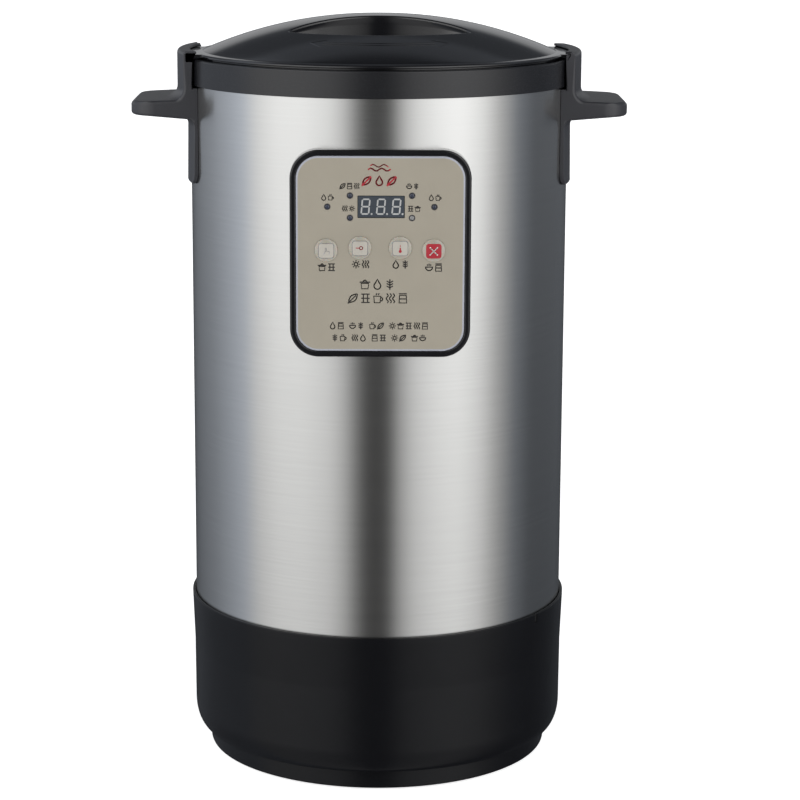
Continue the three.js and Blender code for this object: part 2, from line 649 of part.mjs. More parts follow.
// ---------------------------------------------------------------- the whole object
addPiece("base_housing", baseHousing(), "glossBlack");
addPiece("bottom_cover", bottomCover(), "satinBlack");
ringSpots(98, 4, 0).forEach((spot, i) => addPiece(`rubber_foot_${i + 1}`, rubberFoot(spot), "rubber"));
postSpots.forEach((spot, i) => addPiece(`bottom_screw_${i + 1}`, bottomScrew(spot), "zinc"));

addPiece("outer_shell", outerShell(), "steel");
addPiece("top_collar", topCollar(), "satinBlack");
addPiece("inner_pot", innerPot(), "steel");
addPiece("insulation_sleeve", sleeve(108.3, 113.3, 113, 461), "foam");
addPiece("heater_band", sleeve(105.9, 107.2, 150, 300), "silicone");
addPiece("support_plate", supportPlate(), "zinc");
addPiece("heating_plate", heatingPlate(), "aluminium");
addPiece("temperature_sensor", temperatureSensor(), "zinc");
addPiece("thermal_fuse", rodAlongY(2.2, -30, -10, 35, 103, 10), "aluminium");

addPiece("power_board", powerBoard(), "board");
addPiece("transformer", transformer(), "zinc");
addPiece("relay", relay(), "smoked");
addPiece("wire_harness", wireHarness(), "wire");
addPiece("inlet_socket", inletSocket(), "satinBlack");
for (const [name, spot] of Object.entries(INLET_PINS)) {
  addPiece(name, inletBlade(spot, 0, 98, 127.6), "brass");
}

const handleSolid = handle();
const sides = { right: 0, left: 180 };
for (const [side, turn] of Object.entries(sides)) {
  addPiece(`handle_${side}`, handleSolid, "satinBlack", turn);
  addPiece(`handle_bracket_${side}`, handleBracket(), "zinc", turn);
  addPiece(`handle_screw_${side}_1`, handleScrew(-1), "zinc", turn);
  addPiece(`handle_screw_${side}_2`, handleScrew(1), "zinc", turn);
}

addPiece("panel_frame", panelFrame(), "glossBlack");
addPiece("panel_overlay", panelOverlay(), "champagne");
addPiece("display_module", displayModule(), "smoked");
addPiece("control_board", controlBoard(), "board");
LEDS.forEach((spot, i) => addPiece(`led_${i + 1}`, led(spot), "led"));
for (const [name, spot] of Object.entries(BUTTONS)) {
  addPiece(name, button(spot), "frosted");
  addPiece(name.replace("button", "switch"), tactSwitch(spot), "smoked");
}

addPiece("lid_cover", lidCover(), "glossBlack");
addPiece("lid_liner", lidLiner(), "satinBlack");
addPiece("lid_insulation", lidInsulation(), "foam");
addPiece("lid_stud", lidStud(), "zinc");
addPiece("inner_lid", innerLid(), "steel");
addPiece("lid_gasket", lidGasket(), "silicone");

export default yogurtMaker;
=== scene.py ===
"""Looks of the yogurt maker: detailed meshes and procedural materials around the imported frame.
Sizes are in millimetres until a mesh is made, +Z up, front towards -Y."""
import math

import bmesh
import bpy
from mathutils import Matrix, Vector
from mathutils.geometry import delaunay_2d_cdt


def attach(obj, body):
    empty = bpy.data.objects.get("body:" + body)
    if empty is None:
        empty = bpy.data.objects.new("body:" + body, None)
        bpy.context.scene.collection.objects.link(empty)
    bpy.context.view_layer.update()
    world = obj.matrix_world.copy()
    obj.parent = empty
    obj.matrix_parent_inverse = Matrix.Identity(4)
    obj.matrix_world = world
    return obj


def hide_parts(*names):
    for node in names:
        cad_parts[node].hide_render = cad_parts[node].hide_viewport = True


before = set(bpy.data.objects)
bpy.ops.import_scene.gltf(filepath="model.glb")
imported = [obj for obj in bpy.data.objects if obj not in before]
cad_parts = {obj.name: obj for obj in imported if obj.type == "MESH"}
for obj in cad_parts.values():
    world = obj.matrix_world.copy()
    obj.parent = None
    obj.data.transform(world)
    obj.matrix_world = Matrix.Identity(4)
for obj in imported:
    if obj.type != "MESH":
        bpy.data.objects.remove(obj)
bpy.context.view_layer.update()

MM = 0.001
AROUND = 192
SHARP_DEGREES = 32
TURN = 2 * math.pi

# ---------------------------------------------------------------- sizes
# These are as in the CAD model unless a comment says otherwise.
CASING_RADIUS = 125
CASING_WALL = 0.8
CASING_BOTTOM = 92.3
CASING_TOP = 462.6
COLLAR_RADIUS = 126.6
COLLAR_BOTTOM = 453.9
COLLAR_TOP = 471
BASE_LIP_TOP = 107.2
BASE_BOTTOM = 14
INLET_HEIGHT = 46
NOTCH_DEGREES = -34  # bearing of the relief in the base's lip
POST_CIRCLE = 108
FOOT_CIRCLE = 98

LID_APEX = 498.4
LID_RIM = 474.6
LID_RIM_RADIUS = 117
LID_DOME_POWER = 2.13
EAR_STOP_END = -30.5  # along the right-hand ear
EAR_OPEN_END = 41
LID_INNER_TOP_RADIUS = 80  # inside this circle the dome is meshed round the finger wells
WELL_FLOOR = 478
WELL_TOP = 498
WELL_OUTSIDE = (70.5, 75.6)  # radius at the floor and at the top
BAR_SIDE = (88.5, 100)
BAR_HALF_WIDTH = 17
WELL_TIP = 5
WELL_RIM_ROUND = 1.5
WELL_FLOOR_ROUND = 8  # larger than in the CAD model

HANDLE_HALF_WIDTH = 42
HANDLE_REACH = 162.4
GRIP_TIP_CORNER = 16
POST_OUTSIDE = 133.7
POST_INSIDE = 128  # 127.3 in the CAD model
HANDLE_BACK = 125.12  # 125.45 in the CAD model
ROOF_SETBACK = 4.7  # how far the roof over the slot's closed end stands back; not in the CAD model
TAIL_BOTTOM = 389.5
TAIL_CORNER = 9  # larger than in the CAD model
GRIP_BOTTOM = 426
SLOT_FLOOR = 470
SLOT_ROOF = 474.6
SLOT_OUTSIDE = 131.8
STOP_WIDTH = 8

PANEL_X = 1
PANEL_Z = 357.6
PANEL_WIDTH = 113.1
PANEL_HEIGHT = 130.5
PANEL_CORNER = 18
PANEL_BORDER = 3.6
PANEL_FRONT = -128.5
OVERLAY_FRONT = -128.2
OVERLAY_BACK = -127
DISPLAY = (1.4, 387.4, 29, 13.6)  # centre x, centre z, width, height
DISPLAY_FRONT = -127.9
BUTTON_RADIUS = 7.3
BUTTON_TOP = -130.2
BUTTON_CROWN = 1.3
LED_RADIUS = 1.5
BUTTONS = {
    "function": (-32.8, 360.1),
    "time": (-11.7, 361.7),
    "temperature": (13.4, 361.7),
    "cancel": (34.3, 360.1),
}
LEDS = [(-32.1, 387.4), (-18, 394.4), (-18, 380.5), (20.6, 394.4), (20.6, 380.5), (34.5, 387.4)]


# ---------------------------------------------------------------- materials
def new_material(name, colour, roughness, metallic=0.0, **sockets):
    """A Principled material, with its uniform values on the shader's own sockets."""
    material = bpy.data.materials.new(name)
    material.use_nodes = True
    shader = material.node_tree.nodes["Principled BSDF"]
    shader.inputs["Base Color"].default_value = (*colour, 1)
    shader.inputs["Roughness"].default_value = roughness
    shader.inputs["Metallic"].default_value = metallic
    for socket, value in sockets.items():
        shader.inputs[socket.replace("_", " ")].default_value = value
    return material


def noise(material, scale, stretch=(1, 1, 1), detail=4.0, roughness=0.55):
    """A noise texture in object space, stretched along the axes."""
    nodes, links = material.node_tree.nodes, material.node_tree.links
    where = nodes.new("ShaderNodeTexCoord")
    mapping = nodes.new("ShaderNodeMapping")
    mapping.inputs["Scale"].default_value = stretch
    texture = nodes.new("ShaderNodeTexNoise")
    texture.inputs["Scale"].default_value = scale
    texture.inputs["Detail"].default_value = detail
    texture.inputs["Roughness"].default_value = roughness
    links.new(where.outputs["Object"], mapping.inputs["Vector"])
    links.new(mapping.outputs["Vector"], texture.inputs["Vector"])
    return texture.outputs["Fac"]


def vary_colour(material, factor, low, high):
    nodes, links = material.node_tree.nodes, material.node_tree.links
    ramp = nodes.new("ShaderNodeValToRGB")
    ramp.color_ramp.elements[0].position = 0.3
    ramp.color_ramp.elements[0].color = (*low, 1)
    ramp.color_ramp.elements[1].position = 0.7
    ramp.color_ramp.elements[1].color = (*high, 1)
    links.new(factor, ramp.inputs["Fac"])
    links.new(ramp.outputs["Color"], nodes["Principled BSDF"].inputs["Base Color"])


def vary_roughness(material, factor, low, high):
    nodes, links = material.node_tree.nodes, material.node_tree.links
    spread = nodes.new("ShaderNodeMapRange")
    spread.inputs["From Min"].default_value = 0.3
    spread.inputs["From Max"].default_value = 0.7
    spread.inputs["To Min"].default_value = low
    spread.inputs["To Max"].default_value = high
    links.new(factor, spread.inputs["Value"])
    links.new(spread.outputs["Result"], nodes["Principled BSDF"].inputs["Roughness"])


def add_bump(material, factor, distance_mm, strength=1.0):
    nodes, links = material.node_tree.nodes, material.node_tree.links
    bump = nodes.new("ShaderNodeBump")
    bump.inputs["Distance"].default_value = distance_mm * MM
    bump.inputs["Strength"].default_value = strength
    links.new(factor, bump.inputs["Height"])
    links.new(bump.outputs["Normal"], nodes["Principled BSDF"].inputs["Normal"])


def shade(colour, factor):
    return tuple(min(1.0, c * factor) for c in colour)


def moulded(name, colour, roughness, grain_mm, depth_mm, contrast=0.08, **sockets):
    """Moulded plastic, rubber or foam: slight mottling, uneven gloss and a fine grain."""
    material = new_material(name, colour, roughness, **sockets)
    cloud = noise(material, 40)
    vary_colour(material, cloud, shade(colour, 1 - contrast), shade(colour, 1 + contrast))
    grain = noise(material, 1 / (grain_mm * MM), detail=2)
    vary_roughness(material, grain, roughness * 0.9, roughness * 1.12)
    add_bump(material, grain, depth_mm)
    return material


def brushed_steel(name, colour, roughness, stretch, fine, anisotropic):
    """Steel with fine scratches that run along the directions in which stretch is small."""
    material = new_material(name, colour, roughness, 1.0, Anisotropic=anisotropic, Anisotropic_Rotation=0.25)
    nodes, links = material.node_tree.nodes, material.node_tree.links
    streaks = noise(material, fine, stretch, detail=5, roughness=0.7)
    vary_colour(material, streaks, shade(colour, 0.975), shade(colour, 1.025))
    vary_roughness(material, streaks, roughness * 0.93, roughness * 1.08)
    tangent = nodes.new("ShaderNodeTangent")
    tangent.direction_type = "RADIAL"
    tangent.axis = "Z"
    links.new(tangent.outputs["Tangent"], nodes["Principled BSDF"].inputs["Tangent"])
    return material


def cast_metal(name, colour, roughness, grain_mm, depth_mm):
    material = new_material(name, colour, roughness, 1.0)
    grain = noise(material, 1 / (grain_mm * MM), detail=3)
    vary_colour(material, noise(material, 60), shade(colour, 0.9), shade(colour, 1.08))
    vary_roughness(material, grain, roughness * 0.8, roughness * 1.2)
    add_bump(material, grain, depth_mm)
    return material


def circuit_board():
    """Green solder mask with the faint pattern of tracks beneath it."""
    material = new_material("circuit_board", (0.01, 0.11, 0.04), 0.35)
    nodes, links = material.node_tree.nodes, material.node_tree.links
    where = nodes.new("ShaderNodeTexCoord")
    tracks = nodes.new("ShaderNodeTexBrick")
    tracks.inputs["Scale"].default_value = 240
    tracks.inputs["Color1"].default_value = (0.008, 0.09, 0.03, 1)
    tracks.inputs["Color2"].default_value = (0.012, 0.13, 0.045, 1)
    tracks.inputs["Mortar"].default_value = (0.03, 0.2, 0.07, 1)
    links.new(where.outputs["Object"], tracks.inputs["Vector"])
    links.new(tracks.outputs["Color"], nodes["Principled BSDF"].inputs["Base Color"])
    add_bump(material, tracks.outputs["Fac"], 0.03)
    return material


M = {
    "steel": brushed_steel("steel_casing", (0.6, 0.6, 0.59), 0.24, (0.012, 0.012, 1), 1100, 0.62),
    "pot_steel": brushed_steel("steel_pot", (0.6, 0.6, 0.59), 0.24, (0.02, 0.02, 1), 1100, 0.5),
    "gloss": moulded("gloss_black_lid", (0.0072, 0.0073, 0.0088), 0.1, 1.4, 0.002, Coat_Weight=0.3,
                     Coat_Roughness=0.06),
    "base_gloss": moulded("gloss_black_base", (0.0042, 0.0044, 0.0054), 0.2, 1.2, 0.002,
                         Specular_IOR_Level=0.22),
    "satin": moulded("satin_charcoal", (0.028, 0.0285, 0.033), 0.38, 0.35, 0.01),
    "collar": moulded("satin_collar", (0.0085, 0.0088, 0.0105), 0.25, 0.4, 0.006),
    "bezel": moulded("gloss_black_bezel", (0.007, 0.007, 0.008), 0.14, 1.0, 0.002),
    "overlay": moulded("champagne_overlay", (0.295, 0.267, 0.214), 0.42, 0.22, 0.006, 0.03),
    "overlay_edge": moulded("overlay_edge", (0.36, 0.372, 0.42), 0.22, 0.3, 0.004, 0.05),
    "print": moulded("dark_print", (0.015, 0.013, 0.012), 0.5, 0.2, 0.004),
    "red_print": moulded("red_print", (0.33, 0.008, 0.02), 0.45, 0.2, 0.004),
    "pale_print": moulded("pale_print", (0.72, 0.7, 0.66), 0.4, 0.2, 0.004),
    "grey_print": moulded("grey_print", (0.33, 0.33, 0.35), 0.4, 0.2, 0.004),
    "window": moulded("smoked_window", (0.045, 0.053, 0.064), 0.2, 0.6, 0.001),
    "segment": moulded("display_segment", (0.36, 0.365, 0.36), 0.35, 0.2, 0.002),
    "key": moulded("frosted_key", (0.34, 0.315, 0.265), 0.22, 0.25, 0.004, 0.03, Subsurface_Weight=0.25,
                   Subsurface_Scale=0.002, Coat_Weight=0.35, Coat_Roughness=0.12),
    "key_patch": moulded("key_patch", (0.4, 0.375, 0.33), 0.3, 0.2, 0.003, 0.03),
    "led": moulded("led_lens", (0.03, 0.035, 0.055), 0.12, 0.3, 0.001, 0.2, Coat_Weight=0.8),
    "led_clear": moulded("led_lens_clear", (0.2, 0.2, 0.2), 0.15, 0.3, 0.001, 0.1, Coat_Weight=0.8),
    "led_ring": moulded("led_ring", (0.05, 0.048, 0.05), 0.4, 0.3, 0.003),
    "rubber": moulded("black_rubber", (0.016, 0.016, 0.016), 0.75, 0.4, 0.03),
    "silicone": moulded("silicone", (0.7, 0.68, 0.63), 0.5, 0.6, 0.01),
    "foam": moulded("insulation_foam", (0.72, 0.65, 0.48), 0.9, 1.5, 0.4, 0.15),
    "board": circuit_board(),
    "component": moulded("black_component", (0.02, 0.022, 0.026), 0.4, 0.5, 0.01),
    "wire": moulded("wire_red", (0.5, 0.05, 0.035), 0.45, 0.8, 0.02),
    "aluminium": cast_metal("cast_aluminium", (0.62, 0.63, 0.64), 0.42, 0.9, 0.05),
    "zinc": cast_metal("zinc_steel", (0.58, 0.59, 0.6), 0.34, 1.2, 0.02),
    "brass": cast_metal("brass", (0.72, 0.5, 0.2), 0.3, 0.8, 0.01),
}


# ---------------------------------------------------------------- outlines
def rounded(corners, steps=5):
    """Turns corners given as (a, b, radius) into arcs; corners given as (a, b) stay sharp."""
    points = []
    for i, (a, b, *radius) in enumerate(corners):
        if not radius:
            points.append((a, b))
            continue
        here = Vector((a, b))
        back = Vector(corners[i - 1][:2]) - here
        ahead = Vector(corners[(i + 1) % len(corners)][:2]) - here
        half = back.angle(ahead) / 2
        reach = min(radius[0] / math.tan(half), 0.49 * back.length, 0.49 * ahead.length)
        bend = reach * math.tan(half)
        centre = here + (back.normalized() + ahead.normalized()).normalized() * (bend / math.sin(half))
        start = here + back.normalized() * reach - centre
        end = here + ahead.normalized() * reach - centre
        first = math.atan2(start.y, start.x)
        sweep = (math.atan2(end.y, end.x) - first + math.pi) % TURN - math.pi
        for k in range(steps + 1):
            angle = first + sweep * k / steps
            points.append((centre.x + bend * math.cos(angle), centre.y + bend * math.sin(angle)))
    return points


def rectangle(x, z, width, height, radius, steps=12):
    """A rounded rectangle, anticlockwise from its lower right corner."""
    signs = ((1, -1), (1, 1), (-1, 1), (-1, -1))
    corners = [(x + sx * width / 2, z + sz * height / 2, radius) for sx, sz in signs]
    return rounded(corners, steps)


def polar(radius, angle):
    return radius * math.cos(angle), radius * math.sin(angle)


def between(start, end, share):
    """The point a share of the way from start to end."""
    return tuple(a + (b - a) * share for a, b in zip(start, end))


def circle(x, z, radius, count=48, phase=0.0):
    """Points round a circle; phase is the share of a step by which they are turned."""
    spots = [polar(radius, TURN * (i + phase) / count) for i in range(count)]
    return [(x + px, z + pz) for px, pz in spots]


def inside(point, outline):
    """Whether a point lies inside a closed outline."""
    x, y = point
    crossings = 0
    for (x0, y0), (x1, y1) in zip(outline, outline[1:] + outline[:1]):
        if (y0 > y) != (y1 > y) and x < x0 + (y - y0) * (x1 - x0) / (y1 - y0):
            crossings += 1
    return crossings % 2 == 1


def fill(outline, holes=(), extra=()):
    """Triangles over an outline less its holes: points (the loops come first, in order) and faces."""
    points, edges = [], []
    for loop in (outline, *holes):
        first = len(points)
        points.extend(loop)
        edges.extend((first + i, first + (i + 1) % len(loop)) for i in range(len(loop)))
    points.extend(extra)
    found = delaunay_2d_cdt([Vector(p) for p in points], edges, [], 0, 1e-6)
    places, faces = found[0], found[2]
    kept = []
    for face in faces:
        middle = sum((places[i] for i in face), Vector((0, 0))) / len(face)
        if inside(middle, outline) and not any(inside(middle, hole) for hole in holes):
            kept.append(face)
    return [tuple(p) for p in places], kept


# ---------------------------------------------------------------- meshes
class Shape:
    """Vertices in millimetres and faces, each with the number of its material."""

    def __init__(self):
        self.vertices, self.faces, self.finishes = [], [], []

    def add(self, vertices, faces, finish=0):
        first = len(self.vertices)
        self.vertices.extend(vertices)
        self.faces.extend([first + i for i in face] for face in faces)
        self.finishes.extend([finish] * len(faces))
        return self

    def grid(self, loops, finish=0, closed=False):
        """Joins loops of equally many points; with closed, the last loop joins the first."""
        count = len(loops[0])
        rows = len(loops) if closed else len(loops) - 1
        faces = []
        for row in range(rows):
            here, there = row * count, (row + 1) % len(loops) * count
            for i in range(count):
                j = (i + 1) % count
                faces.append((here + i, here + j, there + j, there + i))
        return self.add([p for loop in loops for p in loop], faces, finish)

    def close(self, first, count):
        """Adds one face over a loop of vertices."""
        return self.add([], [range(first - len(self.vertices), first - len(self.vertices) + count)])

    def tube(self, loops):
        """Joins loops and closes the first and the last with a face each."""
        count = len(loops[0])
        start = len(self.vertices)
        self.grid(loops)
        self.close(start, count)
        return self.close(len(self.vertices) - count, count)


def turned(profile, sides=AROUND):
    """A profile of (radius, height) turned about Z; it closes on itself unless it ends on the axis."""
    shape = Shape()
    rings = []
    for r, z in profile:
        rings.append([(x, y, z) for x, y in circle(0, 0, r, sides)])
    open_ended = profile[0][0] == 0
    return shape.grid(rings, closed=not open_ended)


def make(name, shape, materials, body, nodes=(), slot=None, sharp=SHARP_DEGREES, weighted=True):
    """A closed mesh object with clean normals that rides on a body and stands for CAD nodes."""
    mesh = bpy.data.meshes.new(name)
    mesh.from_pydata([(x * MM, y * MM, z * MM) for x, y, z in shape.vertices], [], shape.faces)
    materials = materials if isinstance(materials, (list, tuple)) else [materials]
    for material in materials:
        mesh.materials.append(material)
    mesh.polygons.foreach_set("material_index", shape.finishes)
    built = bmesh.new()
    built.from_mesh(mesh)
    bmesh.ops.remove_doubles(built, verts=built.verts, dist=1e-7)
    bmesh.ops.dissolve_degenerate(built, edges=built.edges, dist=1e-7)
    bmesh.ops.recalc_face_normals(built, faces=built.faces)
    built.to_mesh(mesh)
    built.free()
    piece = bpy.data.objects.new(name, mesh)
    bpy.context.scene.collection.objects.link(piece)
    smooth(piece, sharp, weighted)
    if body:
        place(piece, body, nodes, slot)
    return piece


def place(piece, body, nodes=(), slot=None):
    """Puts a finished piece on its body, in place of CAD nodes; slot is not used."""
    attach(piece, body)
    if nodes:
        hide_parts(*nodes)


def make_turned(name, profile, material, body, nodes, slot, sides=AROUND, steps=5):
    """A piece turned about Z from a profile with rounded corners."""
    return make(name, turned(rounded(profile, steps), sides), M[material], body, nodes, slot)


def smooth(piece, sharp=SHARP_DEGREES, weighted=True):
    """Smooth shading, with the edges that turn by more than an angle kept sharp."""
    built = bmesh.new()
    built.from_mesh(piece.data)
    for face in built.faces:
        face.smooth = True
    for edge in built.edges:
        turn = edge.calc_face_angle(0) if len(edge.link_faces) == 2 else 0
        edge.smooth = turn < math.radians(sharp)
    built.to_mesh(piece.data)
    built.free()
    if weighted:
        modifier = piece.modifiers.new("normals", "WEIGHTED_NORMAL")
        modifier.keep_sharp = True
        modifier.weight = 60


def combine(piece, operation, *shapes):
    """Joins a mesh with shapes, or cuts them out of it."""
    for shape in shapes:
        tool = make("tool", shape, piece.data.materials[0], None)
        modifier = piece.modifiers.new("combine", "BOOLEAN")
        modifier.operation = operation
        modifier.solver = "EXACT"
        modifier.object = tool
        evaluated = piece.evaluated_get(bpy.context.evaluated_depsgraph_get())
        result = bpy.data.meshes.new_from_object(evaluated)
        piece.modifiers.clear()
        piece.data = result
        bpy.data.objects.remove(tool)
    smooth(piece)
    return piece


def block(x0, x1, y0, y1, z0, z1, round_mm=0.0, axis="y"):
    """A tool or piece: a box whose four edges along one axis are rounded."""
    if axis == "y":
        outline = rectangle((x0 + x1) / 2, (z0 + z1) / 2, x1 - x0, z1 - z0, max(round_mm, 0.01), 6)
        loops = [[(x, y, z) for x, z in outline] for y in (y0, y1)]
    else:
        outline = rectangle((x0 + x1) / 2, (y0 + y1) / 2, x1 - x0, y1 - y0, max(round_mm, 0.01), 6)
        loops = [[(x, y, z) for x, y in outline] for z in (z0, z1)]
    return Shape().tube(loops)


def rod(x, y, z0, z1, radius, sides=32):
    shape = turned([(0, z0), (radius, z0), (radius, z1), (0, z1)], sides)
    shape.vertices = [(vx + x, vy + y, vz) for vx, vy, vz in shape.vertices]
    return shape


def turn_half(shape):
    """The same shape turned 180 degrees about Z."""
    turned_shape = Shape()
    turned_shape.vertices = [(-x, -y, z) for x, y, z in shape.vertices]
    turned_shape.faces, turned_shape.finishes = shape.faces, shape.finishes
    return turned_shape


def facing_front(shape, x, z):
    """A shape turned about Z, laid so that its height runs back along +Y, at a place on the panel."""
    laid = Shape()
    laid.vertices = [(vx + x, vz, vy + z) for vx, vy, vz in shape.vertices]
    laid.faces, laid.finishes = shape.faces, shape.finishes
    return laid


# ---------------------------------------------------------------- base
def post_spots():
    return circle(0, 0, POST_CIRCLE, 4, 0.5)


def inlet_block(half_width, front, back, half_height, round_mm):
    """A block centred on the inlet."""
    return block(-half_width, half_width, front, back, INLET_HEIGHT - half_height, INLET_HEIGHT + half_height,
                 round_mm)


def build_base():
    arcs = [polar(1, math.radians(a)) for a in range(0, -91, -6)]
    corner = [(119.35 + 6.6 * x, 30 + 16 * z) for x, z in arcs]
    profile = rounded([
        (101, BASE_BOTTOM), (101, 16.5), (118, 16.5), (123.3, 30), (123.3, 92), (125.3, 92),
        (125.3, 106.6, 0.4), (125.9, BASE_LIP_TOP, 0.3), (127.5, BASE_LIP_TOP, 0.7), (127.4, 103.2, 1.5),
        (126.2, 72, 40), *corner,
    ])
    base = make("base_housing_body", turned(profile, 256), M["base_gloss"], None)
    pad = inlet_block(25, 114, 128.2, 19, 4)
    hollow = inlet_block(22.5, 100, 125.7, 16.5, 2)
    opening = inlet_block(13.8, 100, 140, 10.1, 1)
    notch = rod(*polar(127.6, math.radians(NOTCH_DEGREES)), 101.2, 108.2, 1.8)
    combine(base, "UNION", pad)
    combine(base, "DIFFERENCE", hollow, opening, notch)
    place(base, "housing", ["base_housing"], "gloss_black")

    floor = make("bottom_cover_tray", turned(rounded([
        (0, 5), (112.6, 5, 0.8), (113.2, 1, 0.4), (115.1, 1, 0.6), (115.5, 2.2), (115.5, 13.7, 0.3),
        (113, 13.7), (113, 7.5), (0, 7.5),
    ])), M["base_gloss"], None)
    slots = [block(-22, 22, 9 * i - 2, 9 * i + 2, 0, 9, 1.99, "z") for i in range(-2, 3)]
    wells = [rod(x, y, 0, 6.5, 3.8) for x, y in post_spots()]
    combine(floor, "DIFFERENCE", *slots, *wells)
    place(floor, "housing", ["bottom_cover"], "satin_charcoal")

    for i, (fx, fy) in enumerate(circle(0, 0, FOOT_CIRCLE, 4)):
        foot = turned(rounded([(0, 0), (3, 0), (3.6, 0.6, 0.4), (6.4, 0.6, 0.4), (7, 0, 0.4), (9, 0, 0.8),
                               (10, 1.2, 0.8), (10, 4.7, 0.3), (0, 4.7)]), 64)
        foot.vertices = [(x + fx, y + fy, z) for x, y, z in foot.vertices]
        make(f"rubber_foot_pad_{i + 1}", foot, M["rubber"], "housing", [f"rubber_foot_{i + 1}"],
             "black_rubber")

    for i, (x, y) in enumerate(post_spots()):
        screw = make(f"bottom_screw_head_{i + 1}", rod(x, y, 5.6, 8.6, 3.3, 40), M["zinc"], None)
        cross = [block(x - a, x + a, y - b, y + b, 5, 6.8, 0.2, "z") for a, b in ((2, 0.45), (0.45, 2))]
        combine(screw, "DIFFERENCE", *cross)
        place(screw, "housing", [f"bottom_screw_{i + 1}"], "zinc_steel")


# ---------------------------------------------------------------- barrel and pot
def build_barrel():
    inner = CASING_RADIUS - CASING_WALL
    tube = turned([(inner, CASING_BOTTOM), (CASING_RADIUS, CASING_BOTTOM), (CASING_RADIUS, CASING_TOP),
                   (inner, CASING_TOP)], 256)
    shell = make("casing_tube", tube, M["steel"], None)
    combine(shell, "DIFFERENCE", block(-46, 46, -140, -80, 309, 408, 3))
    place(shell, "housing", ["outer_shell"], "brushed_steel")

    make_turned("collar_ring", [
        (125.35, COLLAR_BOTTOM), (COLLAR_RADIUS, COLLAR_BOTTOM, 0.4), (COLLAR_RADIUS, COLLAR_TOP, 1.0),
        (122.2, COLLAR_TOP, 0.5), (122.2, 465.6, 0.5), (106, 465.6, 0.5), (106, 463.1, 0.3), (125.35, 463.1),
    ], "collar", "housing", ["top_collar"], "satin_charcoal", 256)

    pot = [(0, 112), (105, 112, 18), (105, 466), (117.5, 466, 0.4), (117.5, 467, 0.4), (104.2, 467, 1.2),
           (104.2, 112.8, 17.2), (0, 112.8)]
    make_turned("pot_bowl", pot, "pot_steel", "housing", ["inner_pot"], "brushed_steel", steps=10)

    hidden = {
        "insulation_sleeve": ([(108.3, 113), (113.3, 113, 1), (113.3, 461, 1), (108.3, 461)], "foam",
                              "insulation_foam"),
        "heater_band": ([(105.9, 150), (107.2, 150, 0.4), (107.2, 300, 0.4), (105.9, 300)], "silicone",
                        "silicone"),
        "support_plate": ([(14, 88.8), (119, 88.8, 0.4), (119, 90, 0.4), (14, 90)], "zinc", "zinc_steel"),
        "heating_plate": ([(8, 106, 1), (80, 106, 2), (80, 90.4), (83, 90.4), (83, 111.6, 1), (8, 111.6, 1)],
                          "aluminium", "cast_aluminium"),
        "temperature_sensor": ([(0, 92), (9, 92, 0.4), (9, 94, 0.4), (6, 94), (6, 111.6, 0.8), (0, 111.6)],
                               "zinc", "zinc_steel"),
    }
    for name, (profile, material, slot) in hidden.items():
        make_turned(f"{name}_part", profile, material, "housing", [name], slot, 96, 3)


# ---------------------------------------------------------------- handles
def handle_section():
    """The handle seen from the front, as (distance from the axis at the middle, height)."""
    return rounded([
        (HANDLE_BACK, TAIL_BOTTOM, 0.45), (127.5, TAIL_BOTTOM, 0.9), (126.9, 431.9, 5.2),
        (HANDLE_REACH, 434.6, 2.2), (HANDLE_REACH, 443.7, 2.8), (POST_OUTSIDE, 444.9, 7.5),
        (POST_OUTSIDE, 476.3, 2.6), (125.5, 476.3, 0.45),
        (125.5, SLOT_ROOF, 0.45), (SLOT_OUTSIDE, SLOT_ROOF, 0.3), (SLOT_OUTSIDE, SLOT_FLOOR, 0.3),
        (POST_INSIDE, SLOT_FLOOR, 0.45), (POST_INSIDE, 452.4, 0.3), (HANDLE_BACK, 452.4, 0.45),
    ], 6)


def in_slot(r, z):
    return POST_INSIDE - 0.1 < r < SLOT_OUTSIDE + 0.1 and SLOT_FLOOR - 0.6 < z < SLOT_ROOF + 0.1


def arris(r, z):
    """How far the end edges are rounded at a point of the section."""
    if r < POST_INSIDE - 0.3 and z < SLOT_FLOOR - 0.6:
        return 0.12
    thin = z > SLOT_FLOOR - 0.6 or z < GRIP_BOTTOM
    return 0.6 if thin else 1.9


def inward(section, i):
    """The unit normal into the section at one of its points."""
    before, after = Vector(section[i - 1]), Vector(section[(i + 1) % len(section)])
    along = after - before
    return Vector((-along.y, along.x)).normalized() if along.length > 1e-9 else Vector((0, 0))


def place_on_handle(r, z, y):
    """A point of the section carried to a distance y from the middle of the handle."""
    if z < GRIP_BOTTOM:
        over = max(0.0, abs(y) - (HANDLE_HALF_WIDTH - TAIL_CORNER))
        raised = TAIL_CORNER - math.sqrt(max(0.0, TAIL_CORNER ** 2 - over ** 2))
        z = GRIP_BOTTOM - (GRIP_BOTTOM - z) * (1 - raised / (GRIP_BOTTOM - TAIL_BOTTOM))
    if r <= POST_OUTSIDE:
        return (math.sqrt(r * r - y * y), y, z)
    over = max(0.0, abs(y) - (HANDLE_HALF_WIDTH - GRIP_TIP_CORNER))
    tip = HANDLE_REACH - GRIP_TIP_CORNER + math.sqrt(max(0.0, GRIP_TIP_CORNER ** 2 - over ** 2))
    share = (r - POST_OUTSIDE) / (HANDLE_REACH - POST_OUTSIDE)
    return ((1 - share) * math.sqrt(POST_OUTSIDE ** 2 - y * y) + share * tip, y, z)


